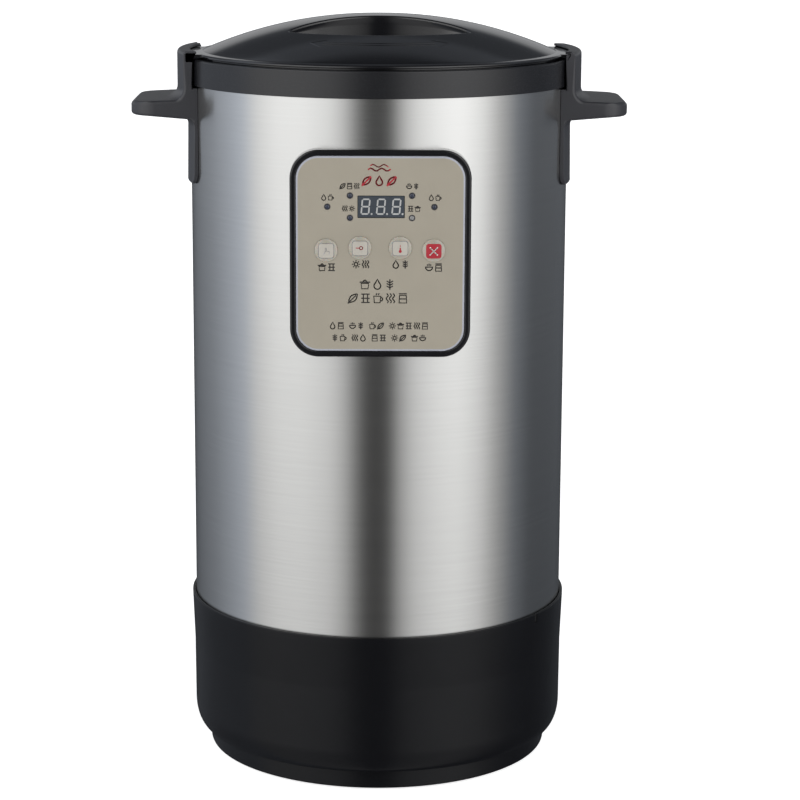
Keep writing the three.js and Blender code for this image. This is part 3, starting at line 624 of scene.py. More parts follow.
def handle_shape():
    """The right-hand handle: the section swept along Y, with its slot closed at the -Y end."""
    section = handle_section()
    closed_section = []
    for r, z in section:
        if r < POST_INSIDE - 1 and z > SLOT_FLOOR:
            r += ROOF_SETBACK
        elif in_slot(r, z):
            r = POST_INSIDE + 0.01 * (r - POST_INSIDE)
        closed_section.append((r, z))
    open_round = [arris(r, z) for r, z in section]
    closed_round = [0.02 if in_slot(*p) else e for p, e in zip(section, open_round)]
    straight = HANDLE_HALF_WIDTH - GRIP_TIP_CORNER
    bend = [straight + GRIP_TIP_CORNER * math.sin(math.radians(a)) for a in range(0, 91, 9)]
    stop = HANDLE_HALF_WIDTH - STOP_WIDTH
    halves = sorted({*bend, stop + 0.01, stop, 20.0, 13.0, 6.0})
    stations = [-y for y in reversed(halves)] + [0.0] + halves
    loops = []

    def add_round(outline, rounding, side, angles):
        for degrees in angles:
            sine, cosine = math.sin(math.radians(degrees)), math.cos(math.radians(degrees))
            loop = []
            for i, (r, z) in enumerate(outline):
                moved = Vector((r, z)) + inward(outline, i) * rounding[i] * (1 - cosine)
                y = side * (HANDLE_HALF_WIDTH - rounding[i] * (1 - sine))
                loop.append(place_on_handle(moved.x, moved.y, y))
            loops.append(loop)

    steps = list(range(0, 91, 15))
    add_round(closed_section, closed_round, -1, reversed(steps[1:]))
    for station in stations:
        shut = station < -stop - 0.005
        outline, rounding = (closed_section, closed_round) if shut else (section, open_round)
        loops.append([
            place_on_handle(r, z, station * (HANDLE_HALF_WIDTH - e) / HANDLE_HALF_WIDTH)
            for (r, z), e in zip(outline, rounding)
        ])
    add_round(section, open_round, 1, steps[1:])
    return Shape().tube(loops)


def build_handles():
    right = handle_shape()
    make("handle_grip_right", right, M["satin"], "housing", ["handle_right"], "satin_charcoal")
    make("handle_grip_left", turn_half(right), M["satin"], "housing", ["handle_left"], "satin_charcoal")


# ---------------------------------------------------------------- control panel
def panel_outline(inset):
    return rectangle(PANEL_X, PANEL_Z, PANEL_WIDTH - 2 * inset, PANEL_HEIGHT - 2 * inset,
                     PANEL_CORNER - inset, 16)


def on_casing(x):
    return -math.sqrt((CASING_RADIUS + 0.15) ** 2 - x * x)


def build_frame():
    profile = rounded([
        (0, -110), (0, PANEL_FRONT, 1.3), (PANEL_BORDER, PANEL_FRONT, 0.7), (PANEL_BORDER, -126.7),
        (9, -126.7), (9, -125.2), (PANEL_BORDER, -125.2), (PANEL_BORDER, -109),
    ])
    loops = []
    for i, (inset, y) in enumerate(profile):
        at_casing = i in (0, len(profile) - 1)
        loops.append([(x, on_casing(x) if at_casing else min(y, on_casing(x) - 0.1), z)
                      for x, z in panel_outline(inset)])
    ring = Shape().grid(loops, closed=True)
    make("panel_bezel", ring, M["bezel"], "housing", ["panel_frame"], "gloss_black")


def build_overlay():
    """The champagne plate, with a pale bevelled edge and openings for the display, keys and lamps."""
    rim = PANEL_BORDER + 0.3
    bevel = 1.15
    x, z, width, height = DISPLAY
    holes = [rectangle(x, z, width + 0.5, height + 0.5, 0.6, 4)]
    holes += [circle(bx, bz, BUTTON_RADIUS + 0.03, 96) for bx, bz in BUTTONS.values()]
    holes += [circle(lx, lz, LED_RADIUS + 0.25, 32) for lx, lz in LEDS]
    shape = Shape()
    for outline, y in ((panel_outline(rim + bevel), OVERLAY_FRONT), (panel_outline(rim), OVERLAY_BACK)):
        places, faces = fill(outline, holes)
        shape.add([(px, y, pz) for px, pz in places], faces)
    levels = ((rim + bevel, OVERLAY_FRONT), (rim, OVERLAY_FRONT + 0.55))
    shape.grid([[(px, y, pz) for px, pz in panel_outline(inset)] for inset, y in levels], finish=1)
    shape.grid([[(px, y, pz) for px, pz in panel_outline(rim)] for y in (OVERLAY_FRONT + 0.55, OVERLAY_BACK)])
    for hole in holes:
        shape.grid([[(px, y, pz) for px, pz in hole] for y in (OVERLAY_FRONT, OVERLAY_BACK)])
    finishes = [M["overlay"], M["overlay_edge"]]
    make("panel_plate", shape, finishes, "housing", ["panel_overlay"], "champagne_overlay")


def resampled(outline, spacing):
    """The same closed outline with extra points, so that no side is longer than spacing."""
    points = []
    for here, there in zip(outline, outline[1:] + outline[:1]):
        pieces = max(1, math.ceil(math.dist(here, there) / spacing))
        points.extend(between(here, there, k / pieces) for k in range(pieces))
    return points


class Print:
    """Thin printed shapes that lie on a surface given by its y at each (x, z)."""

    def __init__(self, surface):
        self.surface = surface
        self.shape = Shape()
        self.strokes = 0

    def area(self, outline, holes=(), spacing=0.8):
        """A filled outline with holes, meshed finely enough to follow the surface."""
        outline = resampled(outline, spacing)
        xs = [p[0] for p in outline]
        zs = [p[1] for p in outline]
        extra = []
        for i in range(1, int((max(xs) - min(xs)) / spacing)):
            for k in range(1, int((max(zs) - min(zs)) / spacing)):
                point = (min(xs) + i * spacing, min(zs) + k * spacing)
                if inside(point, outline) and not any(inside(point, hole) for hole in holes):
                    extra.append(point)
        places, faces = fill(outline, holes, extra)
        front = [(x, self.surface(x, z) - 0.05, z) for x, z in places]
        back = [(x, self.surface(x, z) - 0.005, z) for x, z in places]
        self.shape.add(front, faces)
        self.shape.add(back, faces)
        for loop in (outline, *holes):
            self.shape.grid([[(x, self.surface(x, z) - lift, z) for x, z in loop] for lift in (0.05, 0.005)])

    def stroke(self, points, width, closed=False):
        """A line of even width along some points, a hair higher than the line before it."""
        lift = 0.05 + 0.004 * (self.strokes % 10)
        self.strokes += 1
        count = len(points)
        left, right = [], []
        for i, (x, z) in enumerate(points):
            before = points[i - 1] if i or closed else points[i]
            after = points[(i + 1) % count] if i < count - 1 or closed else points[i]
            along = (Vector(after) - Vector(before)).normalized()
            across = Vector((-along.y, along.x)) * width / 2
            left.append((x + across.x, z + across.y))
            right.append((x - across.x, z - across.y))
        pairs = count if closed else count - 1
        for i in range(pairs):
            j = (i + 1) % count
            quad = [left[i], left[j], right[j], right[i]]
            front = [(x, self.surface(x, z) - lift, z) for x, z in quad]
            back = [(x, self.surface(x, z) - 0.005, z) for x, z in quad]
            sides = [(0, 4, 5, 1), (1, 5, 6, 2), (2, 6, 7, 3), (3, 7, 4, 0)]
            self.shape.add(front + back, [(0, 1, 2, 3), (7, 6, 5, 4), *sides])

    def make(self, name, material, body="housing", slot=None):
        return make(name, self.shape, material, body, slot=slot, weighted=False)


def on_overlay(x, z):
    return OVERLAY_FRONT


def curve(centre, radius, first, last, count=10):
    """Points along an arc, in degrees."""
    return [(centre[0] + radius * math.cos(math.radians(first + (last - first) * i / count)),
             centre[1] + radius * math.sin(math.radians(first + (last - first) * i / count)))
            for i in range(count + 1)]


def line(*points):
    return points, False


def ring(*points):
    return points, True


def leaf_side(side):
    """One edge of a lens that lies along the diagonal."""
    shares = [k / 8 for k in range(9)]
    bows = [0.2 * side * math.sin(math.pi * t) for t in shares]
    return line(*((0.84 * t - 0.42 + bow, 0.84 * t - 0.42 - bow) for t, bow in zip(shares, bows)))


# Plain kitchen signs in a unit square, as open lines and closed rings.
SIGNS = {
    "drop": [ring((0, 0.5), (0.16, 0.2), *curve((0, -0.14), 0.32, 25, -205, 12), (-0.16, 0.2))],
    "cup": [ring((-0.4, 0.2), (-0.34, -0.42), (0.2, -0.42), (0.26, 0.2)),
            line(*curve((0.26, -0.08), 0.18, 80, -80, 6)), line((-0.18, 0.3), (-0.1, 0.5)),
            line((0.04, 0.3), (0.12, 0.5))],
    "leaf": [leaf_side(-1), leaf_side(1), line((-0.5, -0.5), (0.28, 0.28))],
    "jar": [ring((-0.32, 0.28), (-0.36, -0.44), (0.36, -0.44), (0.32, 0.28)),
            line((-0.38, 0.44), (0.38, 0.44)), line((-0.32, -0.05), (0.32, -0.05))],
    "steam": [line(*((x + 0.1 * math.sin(k * 1.25), -0.45 + 0.115 * k) for k in range(9)))
              for x in (-0.3, 0, 0.3)],
    "sun": [ring(*curve((0, 0), 0.22, 0, 330, 11))] + [
        line(polar(0.34, TURN * i / 8), polar(0.5, TURN * i / 8)) for i in range(8)],
    "bowl": [line((-0.48, 0.05), (0.48, 0.05)), line(*curve((0, 0.05), 0.42, 180, 360, 10)),
             line((-0.2, 0.2), (-0.2, 0.4)), line((0.0, 0.2), (0.0, 0.48)), line((0.2, 0.2), (0.2, 0.4))],
    "grain": [line((0, -0.5), (0, 0.5))] + [
        line((-0.3, k + 0.18), (0, k), (0.3, k + 0.18)) for k in (-0.32, -0.08, 0.16)],
    "grid": [line((-0.4, k), (0.4, k)) for k in (0.4, 0, -0.4)] + [
        line((k, 0.4), (k, -0.4)) for k in (-0.2, 0.2)],
    "pot": [ring((-0.36, 0.1), (-0.3, -0.42), (0.3, -0.42), (0.36, 0.1)), line((-0.5, 0.22), (0.5, 0.22)),
            line(*curve((0, 0.24), 0.16, 0, 180, 6))],
}


def draw_signs(paper, words, x, z, size, pitch, width):
    """A row of signs centred on x, named by words; a dot leaves a gap."""
    names = words.split()
    steps = [0.45 * pitch if name == "." else pitch for name in names]
    cx = x - sum(steps) / 2
    for name, step in zip(names, steps):
        for points, closed in SIGNS.get(name, ()):
            paper.stroke([(cx + step / 2 + size * px, z + size * pz) for px, pz in points], width, closed)
        cx += step


def build_prints():
    dark = Print(on_overlay)
    names = list(SIGNS)
    lamp_labels = [(2, (-32.1, 393.2)), (3, (-18.2, 400.3)), (2, (-19.0, 386.3)), (2, (20.9, 400.3)),
                   (2, (21.9, 386.3)), (2, (34.7, 393.2))]
    for i, (count, (x, z)) in enumerate(lamp_labels):
        words = " ".join(names[(2 * i + k) % len(names)] for k in range(count))
        draw_signs(dark, words, x, z, 3.9, 4.35, 0.56)
    key_labels = {"pot grid": (-32.4, 349.4), "sun steam": (-11.2, 351.3), "drop grain": (13.6, 351.3),
                  "bowl jar": (34.4, 349.4)}
    for words, (x, z) in key_labels.items():
        draw_signs(dark, words, x, z, 5.2, 5.9, 0.7)
    draw_signs(dark, "pot drop grain", -0.8, 338.6, 6.6, 7.8, 0.74)
    draw_signs(dark, "leaf grid cup steam jar", -0.4, 329.8, 6.6, 7.8, 0.74)
    for row, z in (("drop jar . bowl grain . cup leaf . sun pot grid steam jar", 312.3),
                   ("grain cup . steam drop . jar grid . sun leaf . pot bowl", 304.6)):
        draw_signs(dark, row, 0.2, z, 4.5, 5.1, 0.62)
    dark.make("panel_marks_dark", M["print"])

    red = Print(on_overlay)
    draw_signs(red, "leaf drop leaf", 0.2, 403.6, 6.2, 7.8, 1.0)
    red.stroke([(-6.8 + 1.4 * k, 410.6 + 0.9 * math.sin(k * 1.3)) for k in range(11)], 0.9)
    red.stroke([(-5.4 + 1.4 * k, 413.0 + 0.9 * math.sin(k * 1.3)) for k in range(9)], 0.7)
    red.make("panel_marks_red", M["red_print"])


def build_display():
    x, z, width, height = DISPLAY
    loops = []
    for inset, y in rounded([(0.0, -117.9), (0.0, DISPLAY_FRONT, 0.35), (14, DISPLAY_FRONT)])[:-1]:
        outline = rectangle(x, z, width - 2 * inset, height - 2 * inset, 0.5, 4)
        loops.append([(px, y, pz) for px, pz in outline])
    make("display_window", Shape().tube(loops), M["window"], "housing", ["display_module"], "smoked_window")

    digits = Print(lambda px, pz: DISPLAY_FRONT)
    w, h, bar, slant = 4.6, 9.2, 0.95, 0.09
    for k in range(3):
        cx, cz = x - 9.7 + 9.6 * k, z + 0.1
        ends = [((-w / 2, level), (w / 2, level)) for level in (h / 2, 0, -h / 2)]
        ends += [((px, top), (px, top - h / 2)) for top in (h / 2, 0) for px in (-w / 2, w / 2)]
        for start, end in ends:
            a, b = Vector(start), Vector(end)
            along = (b - a).normalized()
            across = Vector((-along.y, along.x)) * bar / 2
            a, b = a + along * 0.18, b - along * 0.18
            tip = along * bar / 2
            outline = [a, a + tip - across, b - tip - across, b, b - tip + across, a + tip + across]
            digits.area([(cx + p.x + slant * p.y, cz + p.y) for p in outline], spacing=9)
        digits.area(circle(cx + w / 2 + 1.5, cz - h / 2, 0.6, 16), spacing=9)
    digits.make("display_digits", M["segment"])


def dome_y(key):
    """The y of a key's crowned face at each (x, z)."""
    cx, cz = BUTTONS[key]
    return lambda x, z: BUTTON_TOP + BUTTON_CROWN * ((x - cx) ** 2 + (z - cz) ** 2) / 7.0 ** 2


def build_buttons():
    crown = [(0.7 * i, BUTTON_TOP + BUTTON_CROWN * (0.7 * i / 7.0) ** 2) for i in range(10)]
    skirt = rounded([
        (6.3, -129.15), (7.3, -128.7, 0.7), (7.3, -126.6), (8.6, -126.6, 0.3), (8.6, -125.4, 0.3),
        (2, -125.4), (2, -122.7), (0, -122.7),
    ])[1:]
    cap = turned(crown + skirt, 96)
    for key, (x, z) in BUTTONS.items():
        body = f"key_{key}"
        make(f"key_cap_{key}", facing_front(cap, x, z), M["key"], body, [f"button_{key}"], "frosted_keys")
        surface = dome_y(key)
        patch, line = Print(surface), Print(lambda px, pz, s=surface: s(px, pz) - 0.05)
        square = rectangle(x, z - 0.2, 9.6, 9.2, 1.7, 5)
        patch.area(square)
        patch.make(f"key_patch_{key}", M["red_print" if key == "cancel" else "key_patch"], body)
        if key == "cancel":
            line.stroke([(x - 2.5 + 0.5 * k, z - 2.7 + 0.5 * k) for k in range(11)], 0.75)
            line.stroke([(x - 2.5 + 0.5 * k, z + 2.3 - 0.5 * k) for k in range(11)], 0.75)
            line.make("key_sign_cancel", M["pale_print"], body)
            continue
        rim = Print(lambda px, pz, s=surface: s(px, pz) - 0.05)
        rim.stroke(resampled(square, 0.8), 0.3, True)
        if key == "function":
            rim.stroke([(x - 1.6, z - 2.4), (x - 0.5, z - 0.6), (x - 0.5, z + 1.6), (x + 0.3, z + 1.6),
                        (x + 0.3, z - 0.2), (x + 2.0, z - 0.7), (x + 2.0, z - 2.4)], 0.35)
        rim.make(f"key_rim_{key}", M["grey_print"], body)
        if key == "time":
            line.stroke(curve((x + 0.7, z + 0.1), 1.0, 0, 330, 12), 0.55, True)
            line.stroke([(x - 2.6, z + 0.1), (x - 0.4, z + 0.1)], 0.55)
            line.make("key_sign_time", M["red_print"], body)
        if key == "temperature":
            line.stroke([(x, z + 2.0), (x, z + 0.9)], 0.4)
            line.stroke([(x, z + 0.4), (x, z - 1.4)], 0.8)
            line.area(circle(x, z - 1.9, 0.95, 20))
            line.make("key_sign_temperature", M["red_print"], body)


def build_lamps():
    for i, (x, z) in enumerate(LEDS):
        clear = i == 4
        lens = turned(rounded([
            (0, -128.5), (1.0, -128.4, 0.8), (1.5, -127.9, 0.5), (1.5, -117.9), (0, -117.9),
        ], 4), 32)
        make(f"lamp_lens_{i + 1}", facing_front(lens, x, z), M["led_clear" if clear else "led"], "housing",
             [f"led_{i + 1}"], "led_lens")
        bead = turned(rounded([(1.55, -128.0), (1.55, -128.35, 0.1), (2.05, -128.35, 0.1), (2.05, -128.15),
                               (1.72, -128.15), (1.72, -128.0)], 3), 32)
        ring_piece = facing_front(bead, x, z)
        make(f"lamp_ring_{i + 1}", ring_piece, M["led_ring"], "housing", slot="black_components")


# ---------------------------------------------------------------- lid
def dome(r):
    return LID_RIM + (LID_APEX - LID_RIM) * (1 - (r / LID_RIM_RADIUS) ** LID_DOME_POWER)


WELL_SAMPLES = (44, 12)  # points along each arc and round each tip


def well_outline(height, grow):
    """A finger well's outline in plan at a height given for each of its points, moved outwards by grow.
    The front arc runs round the lid's axis, and the other along the grip bar, with rounded tips."""
    long_count, tip_count = WELL_SAMPLES
    total = 2 * long_count + 2 * tip_count
    heights = height if isinstance(height, list) else [height] * total
    bar_centre = -(BAR_HALF_WIDTH + BAR_SIDE[1])

    def point(index, z):
        share = (z - WELL_FLOOR) / (WELL_TOP - WELL_FLOOR)
        outer = WELL_OUTSIDE[0] + share * (WELL_OUTSIDE[1] - WELL_OUTSIDE[0]) + grow
        bar = BAR_SIDE[0] + share * (BAR_SIDE[1] - BAR_SIDE[0]) + grow
        tip = WELL_TIP + grow
        a, b = outer - tip, bar - tip
        cy = (a * a - b * b + bar_centre ** 2) / (2 * bar_centre)
        cx = math.sqrt(max(0.0, a * a - cy * cy))
        outer_angle = math.atan2(cy, cx)
        bar_angle = math.atan2(cy - bar_centre, cx)
        if index < long_count:  # the outer arc, from the left tip to the right tip
            angle = (-math.pi - outer_angle) + (math.pi + 2 * outer_angle) * index / long_count
            return outer * math.cos(angle), outer * math.sin(angle)
        index -= long_count
        if index < tip_count:
            angle = outer_angle + (bar_angle - outer_angle) * index / tip_count
            return cx + tip * math.cos(angle), cy + tip * math.sin(angle)
        index -= tip_count
        if index < long_count:  # the bar's side, from the right tip to the left tip
            angle = bar_angle + (math.pi - 2 * bar_angle) * index / long_count
            return bar * math.cos(angle), bar_centre + bar * math.sin(angle)
        index -= long_count
        angle = (math.pi - bar_angle) + (bar_angle - outer_angle) * index / tip_count
        return -cx + tip * math.cos(angle), cy + tip * math.sin(angle)

    return [point(i, z) for i, z in enumerate(heights)]


def rim_heights(grow):
    """The dome's height at each point of the well's outline, where the outline leans with height."""
    total = 2 * sum(WELL_SAMPLES)
    heights = [490.0] * total
    for _ in range(8):
        heights = [dome(math.hypot(x, y)) for x, y in well_outline(heights, grow)]
    return heights


def well_loops():
    """Loops from the dome's surface over the rounded rim, down the wall and round to the floor."""
    loops = []
    for step in range(7):
        angle = math.radians(15 * step)
        grow = WELL_RIM_ROUND * (1 - math.sin(angle))
        heights = rim_heights(grow)
        drop = WELL_RIM_ROUND * (1 - math.cos(angle))
        loops.append([(x, y, z - drop) for (x, y), z in zip(well_outline(heights, grow), heights)])
    top = [z for _, _, z in loops[-1]]
    bottom = WELL_FLOOR + WELL_FLOOR_ROUND
    for step in range(1, 6):
        heights = [z + (bottom - z) * step / 5 for z in top]
        loops.append([(x, y, z) for (x, y), z in zip(well_outline(heights, 0), heights)])
    for step in range(1, 10):
        angle = math.radians(10 * step)
        grow = -WELL_FLOOR_ROUND * 0.8 * (1 - math.cos(angle))
        z = bottom - WELL_FLOOR_ROUND * math.sin(angle)
        loops.append([(x, y, z) for x, y in well_outline(z, grow)])
    return loops


def lid_shape():
    shape = Shape()
    loops = well_loops()
    back_loops = [[(-x, -y, z) for x, y, z in loop] for loop in loops]
    edge = circle(0, 0, LID_INNER_TOP_RADIUS, AROUND)
    holes = [[(x, y) for x, y, z in group[0]] for group in (loops, back_loops)]
    spread = []
    for r in range(4, LID_INNER_TOP_RADIUS - 2, 3):
        for point in circle(0, 0, r, max(6, int(TURN * r / 3.2)), r % 2 / 2):
            clear = all(math.dist(point, spot) > 1.3 for hole in holes for spot in hole)
            if clear and not any(inside(point, hole) for hole in holes):
                spread.append(point)
    places, faces = fill(edge, holes, spread)
    shape.add([(x, y, dome(math.hypot(x, y))) for x, y in places], faces)
    for group in (loops, back_loops):
        shape.grid(group)
        shape.close(len(shape.vertices) - len(group[0]), len(group[0]))

    flank = [(r, dome(r)) for r in (*range(LID_INNER_TOP_RADIUS, 116, 3), 116)]
    lip = rounded([
        (116, dome(116)), (117, 474.5, 0.8), (118.4, 474.45, 0.6), (121.6, 474.15, 1.2), (123, 473.4, 0.7),
        (123, 472.2, 0.4), (121, 472.2, 0.3), (121, 468, 0.6), (118.6, 468, 0.6), (118.6, 472), (112, 474.1),
        (105, 475.9), (0, 475.9),
    ], 4)[1:]
    rings = [[(x, y, z) for x, y in circle(0, 0, r, AROUND)] for r, z in flank + lip]
    shape.grid(rings)
    for side in (1, -1):
        shape.add(*ear(side))
    return shape


def ear(side):
    """The flat tab that turns into a handle's slot: vertices and faces."""
    section = rounded([(118.9, 471.5), (129.5, 471.4, 0.6), (129.5, 474.2, 0.7), (114, 474.2), (114, 472.6),
                       (118.9, 472.6)], 4)
    soft = 0.8
    turns = [math.radians(a) for a in range(0, 91, 15)]
    near = [(EAR_STOP_END + soft * (1 - math.cos(a)), soft * (1 - math.sin(a))) for a in turns]
    far = [(EAR_OPEN_END - soft * (1 - math.cos(a)), soft * (1 - math.sin(a))) for a in reversed(turns)]
    middle = [(y, 0) for y in range(-28, 40, 6)]
    loops = []
    for y, back in near + middle + far:
        loop = []
        for r, z in section:
            reach = r - back if r > 124 else r
            height = min(max(z, 471.4 + back * 0.8), 474.2 - back * 0.8)
            loop.append((side * math.sqrt(reach ** 2 - y * y), side * y, height))
        loops.append(loop)
    shape = Shape().tube(loops)
    return shape.vertices, shape.faces


def rib(points, width, height, lift):
    """A low rounded rib along points in plan, standing on the dome."""
    loops = []
    for i, here in enumerate(points):
        before, after = Vector(points[max(i - 1, 0)]), Vector(points[min(i + 1, len(points) - 1)])
        along = (after - before).normalized()
        across = Vector((-along.y, along.x))
        loop = []
        for degrees in (180, 144, 108, 72, 36, 0):
            offset = across * (width / 2) * math.cos(math.radians(degrees))
            x, y = here[0] + offset.x, here[1] + offset.y
            loop.append((x, y, dome(math.hypot(x, y)) + height * math.sin(math.radians(degrees)) - lift))
        loops.append(loop)
    return Shape().tube(loops)


def arc_on_lid(radius, first, last, count=36):
    """Plan points round the axis, in degrees from the front."""
    return [(radius * math.sin(math.radians(first + (last - first) * i / count)),
             -radius * math.cos(math.radians(first + (last - first) * i / count))) for i in range(count + 1)]


def build_lid():
    make("lid_dome", lid_shape(), M["gloss"], "lid", ["lid_cover"], "gloss_black", sharp=40)
    marks = Shape()
    spread = 23
    for radius in (88.6, 91.6):
        strip = rib(arc_on_lid(radius, -spread, spread), 0.8, 0.28, 0.03)
        marks.add(strip.vertices, strip.faces)
    for side in (-1, 1):
        for outer in (84.6, 95.6):
            tip = arc_on_lid(90.1, side * (spread + 6), side * (spread + 6), 1)[0]
            wing = arc_on_lid(outer, side * spread, side * spread, 1)[0]
            strip = rib([between(wing, tip, k / 6) for k in range(7)], 0.8, 0.28, 0.03)
            marks.add(strip.vertices, strip.faces)
    make("lid_turn_arrow", marks, M["gloss"], "lid", slot="gloss_black")

    make_turned("lid_liner_disc", [(3.4, 470.3), (118.1, 470.3, 0.4), (118.1, 471.6, 0.4), (3.4, 471.6)],
                "satin", "lid", ["lid_liner"], "satin_charcoal")
    make_turned("lid_foam_disc", [(9, 471.9), (104, 471.9, 0.8), (104, 475.6, 0.8), (9, 475.6)],
                "foam", "lid", ["lid_insulation"], "insulation_foam", 96)
    make_turned("lid_stud_screw", [
        (0, 462), (6, 462, 0.8), (6, 464.2, 0.3), (3, 464.2), (3, 474.8, 0.4), (0, 474.8),
    ], "zinc", "lid", ["lid_stud"], "zinc_steel", 64)
    make_turned("inner_lid_pan", [
        (3.4, 464.6), (12, 464.6, 1), (14, 466, 1), (100, 466, 2), (104, 469, 2), (114.5, 469, 0.3),
        (114.5, 470, 0.3), (103, 470, 1.5), (99, 467.2, 1.5), (3.4, 467.2),
    ], "pot_steel", "inner_lid", ["inner_lid"], "brushed_steel")
    make_turned("gasket_ring", [
        (107, 467.4, 0.3), (112, 467.3, 0.5), (113.5, 467.9, 0.3), (113.5, 468.7, 0.2), (107, 468.7, 0.2),
    ], "silicone", "inner_lid", ["lid_gasket"], "silicone")


# ---------------------------------------------------------------- inlet and the plain CAD nodes
def build_inlet():
    flange = make("inlet_flange", inlet_block(16.5, 128.5, 130.2, 12.3, 2.2), M["component"], None)
    combine(flange, "UNION", inlet_block(13.5, 106.2, 129.2, 9.8, 1.2))
    combine(flange, "DIFFERENCE", inlet_block(12.2, 113.2, 131.2, 8.1, 2))
    place(flange, "housing", ["inlet_socket"], "black_components")
    pins = {"inlet_pin_line": (-7, -1), "inlet_pin_neutral": (7, -1), "inlet_pin_earth": (0, 4.2)}
    for name, (x, rise) in pins.items():
        blade = block(x - 1, x + 1, 98, 127.6, INLET_HEIGHT + rise - 2, INLET_HEIGHT + rise + 2, 0.5)
        make(f"{name}_blade", blade, M["brass"], "housing", [name], "brass")


def finish_cad_nodes():
    """Procedural materials on the CAD nodes that stay as they are."""
    kept = {
        "thermal_fuse": "aluminium", "power_board": "board", "transformer": "zinc", "relay": "component",
        "wire_harness": "wire", "control_board": "board",
    }
    kept.update({f"switch_{key}": "component" for key in BUTTONS})
    for side in ("right", "left"):
        kept[f"handle_bracket_{side}"] = "zinc"
        kept.update({f"handle_screw_{side}_{i}": "zinc" for i in (1, 2)})
    for name, material in kept.items():
        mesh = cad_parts[name].data
        mesh.materials.clear()
        mesh.materials.append(M[material])


# ---------------------------------------------------------------- light, floor and camera
# The studio seen in reflections: brightness against the bearing from the camera, in degrees to the right.
STUDIO = [
    (-180, 0.05), (-166, 0.06), (-150, 0.16), (-122, 0.28), (-104, 0.42), (-90, 0.56), (-78, 0.84),
    (-64, 1.04), (-48, 1.06), (-30, 0.92), (-21, 0.66), (-13, 0.22), (-7, 0.06), (4, 0.05), (8, 0.14),
    (13, 0.5), (22, 0.86), (36, 1.1), (50, 1.2), (64, 0.98), (78, 0.5),
    (92, 0.2), (108, 0.1), (130, 0.1), (150, 0.1), (166, 0.06),
    (180, 0.05),
]
# The same against the angle above the horizon, with a strip of bright lamps at 34 to 46 degrees.
HEIGHTS = [
    (-90, 0.24), (-30, 0.45), (-18, 0.74), (-8, 1.22), (2, 1.7), (24, 1.25), (32, 1.5), (36, 2.8), (44, 2.8),
    (49, 0.9), (60, 0.5), (90, 0.45),
]

# A pale backdrop behind the object, low down, seen only in level surfaces.
BACK = [(-180, 0.4), (-125, 0.4), (-100, 0), (100, 0), (125, 0.4), (180, 0.4)]
LOW = [(-90, 0), (-1, 0), (4, 1), (13, 1), (18, 0), (90, 0)]

COOL = (0.93, 1.0, 1.12)  # tint of the light away from the camera's side


def ramp_of(nodes, values, low, high, cool_beyond=math.inf):
    ramp = nodes.new("ShaderNodeValToRGB")
    stops = ramp.color_ramp.elements
    while len(stops) > 1:
        stops.remove(stops[-1])
    for i, (place, value) in enumerate(values):
        position = (place - low) / (high - low)
        stop = stops[0] if i == 0 else stops.new(position)
        stop.position = position
        tint = COOL if abs(place) > cool_beyond else (1, 1, 1)
        stop.color = (*(value / 4 * t for t in tint), 1)
    return ramp


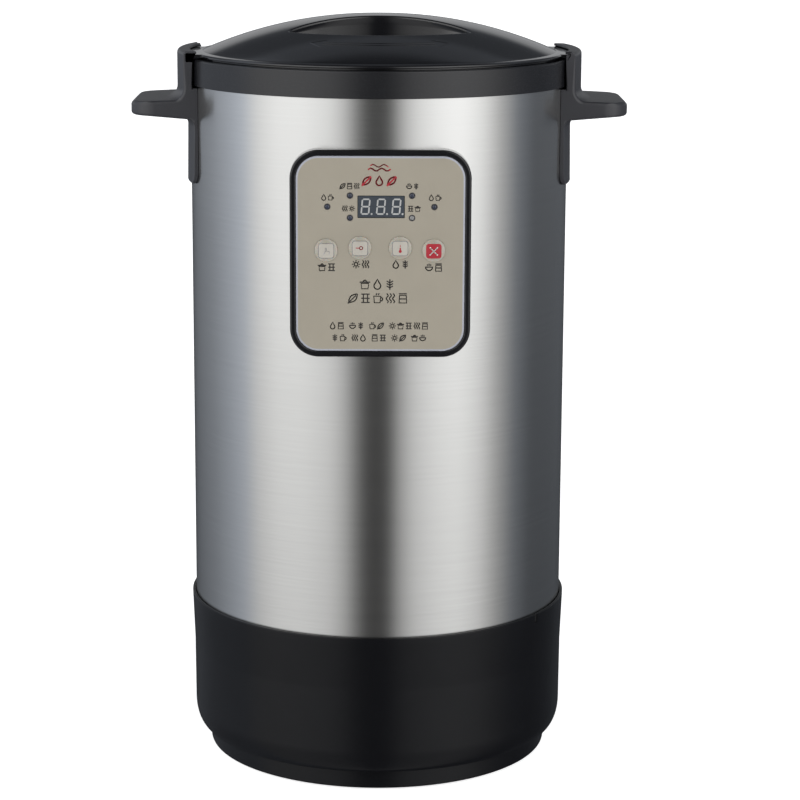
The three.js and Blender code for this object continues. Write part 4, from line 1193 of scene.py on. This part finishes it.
def build_studio():
    world = bpy.data.worlds.new("studio")
    bpy.context.scene.world = world
    world.use_nodes = True
    nodes, links = world.node_tree.nodes, world.node_tree.links
    nodes.clear()

    def maths(operation, first, second=None):
        node = nodes.new("ShaderNodeMath")
        node.operation = operation
        for socket, value in ((0, first), (1, second)):
            if value is None:
                continue
            if isinstance(value, (int, float)):
                node.inputs[socket].default_value = value
            else:
                links.new(value, node.inputs[socket])
        return node.outputs[0]

    where = nodes.new("ShaderNodeTexCoord")
    split = nodes.new("ShaderNodeSeparateXYZ")
    links.new(where.outputs["Generated"], split.inputs[0])
    x, y, z = split.outputs
    bearing = maths("ARCTAN2", x, maths("MULTIPLY", y, -1))
    bearing_share = maths("ADD", maths("DIVIDE", bearing, TURN), 0.5)
    height_share = maths("ADD", maths("DIVIDE", maths("ARCSINE", z), math.pi), 0.5)
    around = ramp_of(nodes, STUDIO, -180, 180, cool_beyond=80)
    upward = ramp_of(nodes, HEIGHTS, -90, 90)
    links.new(bearing_share, around.inputs["Fac"])
    links.new(height_share, upward.inputs["Fac"])
    strength = maths("MULTIPLY", upward.outputs["Color"], 16)
    behind, low = ramp_of(nodes, BACK, -180, 180), ramp_of(nodes, LOW, -90, 90)
    links.new(bearing_share, behind.inputs["Fac"])
    links.new(height_share, low.inputs["Fac"])

    light = nodes.new("ShaderNodeBackground")
    links.new(around.outputs["Color"], light.inputs["Color"])
    links.new(strength, light.inputs["Strength"])
    glow = nodes.new("ShaderNodeBackground")
    links.new(maths("MULTIPLY", maths("MULTIPLY", behind.outputs["Color"], low.outputs["Color"]), 16),
              glow.inputs["Strength"])
    both = nodes.new("ShaderNodeAddShader")
    links.new(light.outputs[0], both.inputs[0])
    links.new(glow.outputs[0], both.inputs[1])
    backdrop = nodes.new("ShaderNodeBackground")
    backdrop.inputs["Color"].default_value = (1, 1, 1, 1)
    backdrop.inputs["Strength"].default_value = 1.05
    path = nodes.new("ShaderNodeLightPath")
    mix = nodes.new("ShaderNodeMixShader")
    output = nodes.new("ShaderNodeOutputWorld")
    links.new(path.outputs["Is Camera Ray"], mix.inputs["Fac"])
    links.new(both.outputs[0], mix.inputs[1])
    links.new(backdrop.outputs[0], mix.inputs[2])
    links.new(mix.outputs[0], output.inputs["Surface"])

    bpy.ops.mesh.primitive_plane_add(size=30, location=(0, 0, -0.0003))
    floor = bpy.context.object
    floor.name = "floor"
    floor.visible_glossy = False
    pale = new_material("floor_white", (0.8, 0.8, 0.8), 0.9)
    shader = pale.node_tree.nodes["Principled BSDF"]
    shader.inputs["Emission Color"].default_value = (1, 1, 1, 1)
    shader.inputs["Emission Strength"].default_value = 0.8
    floor.data.materials.append(pale)


def build_camera():
    camera = bpy.data.cameras.new("camera")
    camera.lens = 116.1
    camera.sensor_width = 36
    camera.shift_x = 0.0272
    holder = bpy.data.objects.new("camera", camera)
    bpy.context.scene.collection.objects.link(holder)
    holder.location = (0, -1.72, 0.606)
    tilt = Matrix.Rotation(math.radians(90 - 12.1), 3, "X")
    roll = Matrix.Rotation(math.radians(0.19), 3, "Z")
    holder.rotation_euler = (tilt @ roll).to_euler()
    bpy.context.scene.camera = holder
    bpy.context.scene.view_settings.view_transform = "Standard"


build_camera()
build_studio()
build_base()
build_barrel()
build_handles()
build_frame()
build_overlay()
build_prints()
build_display()
build_buttons()
build_lamps()
build_lid()
build_inlet()
finish_cad_nodes()
